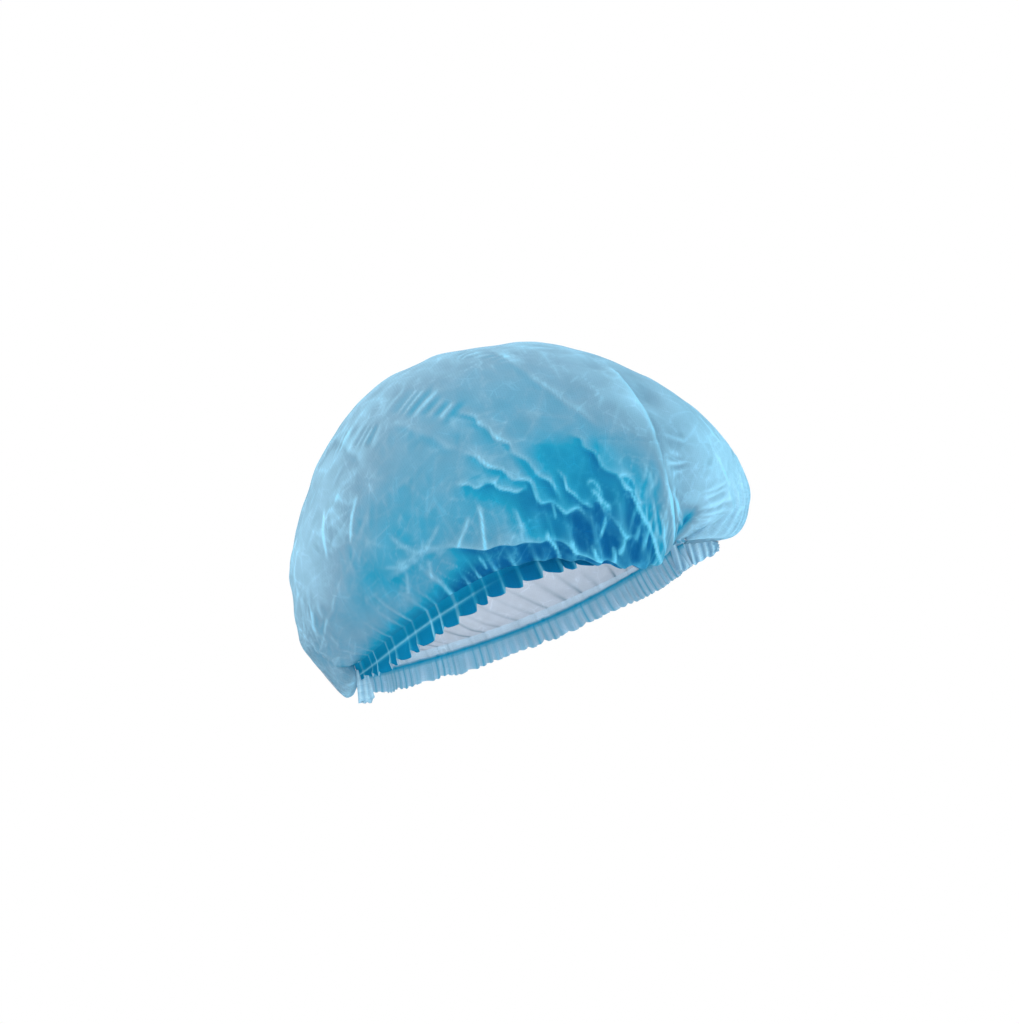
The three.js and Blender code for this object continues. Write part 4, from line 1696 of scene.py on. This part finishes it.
@dataclass
class Elastic:
    """Elastic thread inside a hem: its radius, its depth in the hem, and its covering's twist and ribs."""

    form: CapForm
    pleats: RimPleats
    side: Side
    radius: float = 0.5
    inset: float = 0.75
    sides: int = 10
    twist: float = 0.9
    rib: float = 0.12

    def make(self, smooth_edge: Array, along: Array) -> bpy.types.Object:
        """Build the thread along an edge of the form, with its covering's twist.

        Args:
            smooth_edge: Edge of the form without its gathers.
            along: Along of each point of the edge.

        Returns:
            The piece.
        """
        run = edge_run(smooth_edge)
        out, up = edge_outward(smooth_edge, self.side, self.form), self.form.up
        sway = self.pleats.rise_thread * self.pleats.wave(self.pleats.phase(run))
        middle = smooth_edge + out * (sway - self.inset)[:, None] - np.outer(self.pleats.drops(along)[0], up)
        columns = []
        for k in range(self.sides):
            angle = 2 * math.pi * k / self.sides + self.twist * run
            thick = self.radius * (1.0 + self.rib * math.cos(4 * math.pi * k / self.sides))
            sideways, upwards = thick * np.cos(angle), thick * np.sin(angle)
            columns.append(middle + out * sideways[:, None] + np.outer(upwards, up))
        grid = np.stack(columns, axis=1)
        blank = np.zeros(grid.shape[:2])
        name = f"elastic_thread_{self.side.label}"
        return SheetMesh.build(name, grid, (blank, blank, blank), closed=True)


@dataclass
class WeldTab:
    """Gathered end of the sheet, pressed flat into a crimped tab.

    root and heading are where it starts and which way it points. ribs run along it and are rib_height high,
    pleats cross it and are pleat_height high, rough is how unevenly its end is cut, and ragged how far its
    lower edge strays.
    """

    name: str
    root: tuple[float, ...]
    heading: tuple[float, ...]
    length: float
    root_width: float
    end_width: float
    thickness: float = 1.3
    ribs: float = 2.5
    rib_height: float = 0.3
    rough: float = 1.1
    pleats: float = 4.5
    pleat_height: float = 0.12
    ragged: float = 0.0
    steps_long: int = 60
    steps_wide: int = 40
    seed: int = 0

    def make(self) -> bpy.types.Object:
        """Build the tab as a closed slab with pressed ribs and a cut end.

        Returns:
            The piece.
        """
        heading = unit(np.array(self.heading))
        level = np.array([0.0, 1.0, 0.0])
        wide = unit(np.cross(level, heading))
        rng = np.random.default_rng(self.seed)
        across = np.linspace(-0.5, 0.5, self.steps_wide + 1)
        cut = self.uneven(rng, across, 9, self.rough)
        phase = 2 * math.pi * self.ribs * across + self.uneven(rng, across, 5, 0.9)
        shares = np.linspace(0.0, 1.0, self.steps_long + 1)
        folds = 2 * math.pi * self.pleats * shares + self.uneven(rng, shares, 15, 1.2)
        torn = self.ragged * self.uneven(rng, shares, 15, 1.0)
        low_side = smoothstep(across, 0.2, 0.5)
        rows = []
        for s, fold, tear in zip(shares, folds, torn):
            width = self.root_width + (self.end_width - self.root_width) * s**1.4
            reach = self.length * s + (cut + 0.8 * np.cos(2 * math.pi * across)) * s**6
            edges = np.clip(1.0 - (2 * np.abs(across)) ** 8, 0.15, 1.0)
            thick = 0.5 * self.thickness * (1.0 - 0.35 * s) * edges
            crimp = self.rib_height * np.sin(phase + 0.8 * math.sin(5.0 * s))
            crimp = crimp + self.pleat_height * np.sin(fold + 2.0 * across)
            base = np.array(self.root) + np.outer(reach, heading)
            base = base + np.outer(width * across + tear * low_side, wide)
            front = base + np.outer(crimp - thick, level)
            back = base + np.outer(crimp + thick, level)
            rows.append(np.vstack([front, back[::-1]]))
        grid = np.stack(rows)
        grid = np.concatenate([gathered(grid[:1]), grid, gathered(grid[-1:])])
        # Painted shade in the hollows of the ribs and pleats, and painted highlight on their tops.
        hollow = 0.5 + 0.5 * np.sin(np.concatenate([phase, phase[::-1]]))
        fold = 0.5 + 0.5 * np.sin(np.concatenate([folds[:1], folds, folds[-1:]]))[:, None]
        tone_and_shade = 0.2 + 0.16 * hollow**3 + 0.5 * self.pleat_height * fold**3
        ridge_highlight = 0.3 * (1.0 - hollow) ** 3 + self.pleat_height * (1.0 - fold) ** 3
        return SheetMesh.build(self.name, grid[:, ::-1], (tone_and_shade, ridge_highlight, ridge_highlight), closed=True)

    @staticmethod
    def uneven(rng: np.random.Generator, places: Array, knots: int, size: float) -> Array:
        """Draw an uneven line.

        Args:
            rng: Source of its random heights.
            places: Where it is read, from its one end to its other.
            knots: How many heights are drawn.
            size: Greatest height, up or down.

        Returns:
            Its height at each place.
        """
        return np.interp(places, np.linspace(places[0], places[-1], knots), rng.uniform(-size, size, knots))


@dataclass(frozen=True)
class Lamp:
    """Soft square lamp that faces the cap: its place and size in metres, its power and its tint."""

    name: str
    place: tuple[float, float, float]
    size: float
    watts: float
    tint: Colour = (1.0, 1.0, 1.0)


@dataclass
class Studio:
    """Plain pale floor, soft lights and the camera at the photograph's angle.

    The camera is distance metres from target, at elevation degrees, and shows pixels_per_mm in an image of
    the photograph's size. daylight and surround are the strength and the colour of the light all round.
    """

    floor_height: float = -0.3
    floor_radius: float = 1.0
    floor_sides: int = 96
    floor_colour: Colour = (0.86, 0.87, 0.88)
    floor_roughness: float = 0.7
    elevation: float = -15.0
    distance: float = 1.05
    pixels_per_mm: float = 1.9
    image: tuple[int, int] = (1019, 1024)
    target: tuple[float, float, float] = (-0.00595, -0.0125, 0.0467)
    daylight: float = 0.45
    surround: Colour = (0.97, 0.98, 1.0)
    lamps: tuple[Lamp, ...] = (
        Lamp("key_lamp", (-1.0, -0.55, 0.75), 0.6, 17.0, (1.0, 0.94, 0.9)),
        Lamp("top_lamp", (0.15, 0.15, 1.25), 0.9, 12.0),
        Lamp("side_lamp", (1.1, -0.4, 0.35), 0.6, 8.5, (0.6, 0.94, 1.0)),
        Lamp("back_lamp", (0.1, 1.2, 0.2), 0.8, 12.0),
        Lamp("low_lamp", (0.1, -0.7, -0.24), 0.4, 3.0),
    )

    def floor(self) -> bpy.types.Object:
        """Build the floor.

        Returns:
            The piece.
        """
        mesh = bpy.data.meshes.new("floor")
        turns = np.linspace(0.0, 2 * math.pi, self.floor_sides, endpoint=False)
        level = np.full_like(turns, self.floor_height)
        rim = np.stack([self.floor_radius * np.cos(turns), self.floor_radius * np.sin(turns), level], axis=1)
        mesh.from_pydata(rim.tolist(), [], [tuple(range(len(rim)))])
        piece = bpy.data.objects.new("floor", mesh)
        bpy.context.scene.collection.objects.link(piece)
        made = bpy.data.materials.new("pale_floor")
        made.use_nodes = True
        shader = made.node_tree.nodes["Principled BSDF"]
        shader.inputs["Base Color"].default_value = (*self.floor_colour, 1.0)
        shader.inputs["Roughness"].default_value = self.floor_roughness
        mesh.materials.append(made)
        return piece

    def light(self, lamp: Lamp) -> None:
        """Add a lamp.

        Args:
            lamp: Its place, size, power and tint.
        """
        light = bpy.data.lights.new(lamp.name, "AREA")
        light.size = lamp.size
        light.energy = lamp.watts
        light.color = lamp.tint
        piece = bpy.data.objects.new(lamp.name, light)
        piece.location = lamp.place
        piece.rotation_euler = (Vector(self.target) - Vector(lamp.place)).to_track_quat("-Z", "Y").to_euler()
        bpy.context.scene.collection.objects.link(piece)

    def world(self) -> None:
        """Set a white surround that lights the scene less than it shows."""
        world = bpy.data.worlds.new("white_surround")
        world.use_nodes = True
        world.node_tree.nodes.clear()
        bench = NodeBench(world.node_tree)
        lit = bench.add("Background", {"Strength": self.daylight, "Color": (*self.surround, 1.0)})
        shown = bench.add("Background", {"Strength": 1.0, "Color": (1.0, 1.0, 1.0, 1.0)})
        seen = bench.add("LightPath").outputs["Is Camera Ray"]
        light = bench.add(
            "MixShader", {0: seen, 1: lit.outputs["Background"], 2: shown.outputs["Background"]},
        )
        bench.add("OutputWorld", {"Surface": light.outputs["Shader"]})
        bpy.context.scene.world = world

    def camera(self) -> None:
        """Set the camera where the photograph was taken from."""
        lens = bpy.data.cameras.new("camera")
        lens.sensor_width = 36.0
        focal_pixels = self.pixels_per_mm * self.distance / MM
        lens.lens = lens.sensor_width * focal_pixels / max(self.image)
        lens.clip_start = 0.05
        tilt = math.radians(self.elevation)
        forward = Vector((0.0, math.cos(tilt), -math.sin(tilt)))
        eye = bpy.data.objects.new("camera", lens)
        eye.location = Vector(self.target) - self.distance * forward
        eye.rotation_euler = forward.to_track_quat("-Z", "Y").to_euler()
        bpy.context.scene.collection.objects.link(eye)
        bpy.context.scene.camera = eye

    def make(self) -> None:
        """Set the whole studio up."""
        self.floor()
        for lamp in self.lamps:
            self.light(lamp)
        self.world()
        self.camera()
        bpy.context.scene.view_settings.view_transform = "Standard"


# The cloth's own colour sits near 0.46 on the ramp, where the crown's ground falls; paler tones are painted
# light and deeper ones painted shade.
CAP_CLOTH = ClothFinish(
    name="cap_cloth",
    tones=(
        (0.0, (0.46, 0.74, 0.90)),
        (0.2, (0.33, 0.58, 0.74)),
        (0.43, (0.175, 0.3, 0.395)),
        (0.7, (0.012, 0.25, 0.40)),
        (1.0, (0.0, 0.07, 0.22)),
    ),
    fold_highlight=(0.19, 0.66, 0.90),
    inside=(0.52, 0.57, 0.64),
    seam=(0.17, 0.26, 0.33),
    through=(0.03, 0.36, 0.54),
)
HEM_CLOTH = ClothFinish(
    name="hem_cloth",
    tones=(
        (0.0, (0.50, 0.70, 0.82)),
        (0.2, (0.36, 0.50, 0.63)),
        (0.43, (0.10, 0.32, 0.46)),
        (0.7, (0.0, 0.24, 0.42)),
        (1.0, (0.0, 0.08, 0.25)),
    ),
    fold_highlight=(0.22, 0.60, 0.80),
    inside=(0.39, 0.50, 0.60),
    seam=(0.17, 0.27, 0.34),
    through=(0.08, 0.37, 0.54),
    glow=0.25,
)
THREAD = ClothFinish(
    name="elastic_thread",
    tones=((0.0, (0.09, 0.30, 0.38)), (1.0, (0.01, 0.08, 0.14))),
    fold_highlight=(0.12, 0.36, 0.44),
    inside=(0.07, 0.26, 0.34),
    seam=(0.01, 0.08, 0.14),
    through=(0.05, 0.2, 0.3),
    glow=0.05,
    roughness=0.5,
)
WELD_FILM = ClothFinish(
    name="weld_film",
    tones=((0.0, (0.48, 0.70, 0.82)), (0.25, (0.30, 0.52, 0.66)), (1.0, (0.01, 0.14, 0.30))),
    fold_highlight=(0.50, 0.72, 0.84),
    inside=(0.34, 0.55, 0.70),
    seam=(0.08, 0.36, 0.55),
    through=(0.12, 0.4, 0.6),
    glow=0.12,
    roughness=0.42,
    gloss=0.3,
)


def settle(piece: bpy.types.Object, nodes: tuple[str, ...], finish: bpy.types.Material) -> None:
    """Dress a piece and tie it to the part.

    Args:
        piece: New piece.
        nodes: Nodes that it stands for.
        finish: Its material.
    """
    piece.data.materials.append(finish)
    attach(piece, "root")
    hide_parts(*nodes)
    LOG.info("%s: %d faces", piece.name, len(piece.data.polygons))


def main() -> None:
    """Build the pieces in order, dress them, and set the studio up."""
    logging.basicConfig(level=logging.INFO, format="%(name)s %(message)s")
    form, pleats = CapForm(), {Side.NEAR: NEAR_PLEATS, Side.FAR: FAR_PLEATS}
    grain = SpunbondGrain().tree()
    cap, hem_cloth = CAP_CLOTH.material(grain), HEM_CLOTH.material(grain)
    thread, weld = THREAD.material(grain), WELD_FILM.material(grain)

    crown = Crown(form, pleats)
    crown_piece, moved = crown.make()
    settle(crown_piece, ("crown",), cap)
    rows, columns = crown.lattice()
    smooth = form.points(rows, columns)
    with_crown = []
    for side in Side:
        edge = 0 if side is Side.NEAR else -1
        held = np.abs(rows[:, edge]) < HEM_END
        hem = Hem(form, pleats[side], side).make(smooth[held, edge], moved[held, edge], rows[held, edge])
        settle(hem, (f"hem_{side.label}",), hem_cloth)
        strand = Elastic(form, pleats[side], side).make(smooth[held, edge], rows[held, edge])
        settle(strand, (f"elastic_{side.label}",), thread)
        with_crown += [hem, strand]
    nape = WeldTab(
        "nape_tab", root=form.beside_gather(-1, (2.6, -4.0, -3.0)), heading=(0.2, 0.0, -1.0),
        length=17.5, root_width=6.5, end_width=9.0, seed=3,
    ).make()
    settle(nape, ("weld_nape",), weld)
    brow = WeldTab(
        "brow_tab", root=form.beside_gather(1, (8.0, 5.0, -4.5)),
        heading=tuple(form.tipped(np.array([1.0, 0.0, -0.12]))), length=25.0, root_width=16.5, end_width=7.0,
        ribs=0.4, pleats=6.5, pleat_height=0.5, ragged=1.1, seed=4,
    ).make()
    settle(brow, ("weld_brow",), weld)
    Studio().make()


if __name__ == "__main__":
    main()
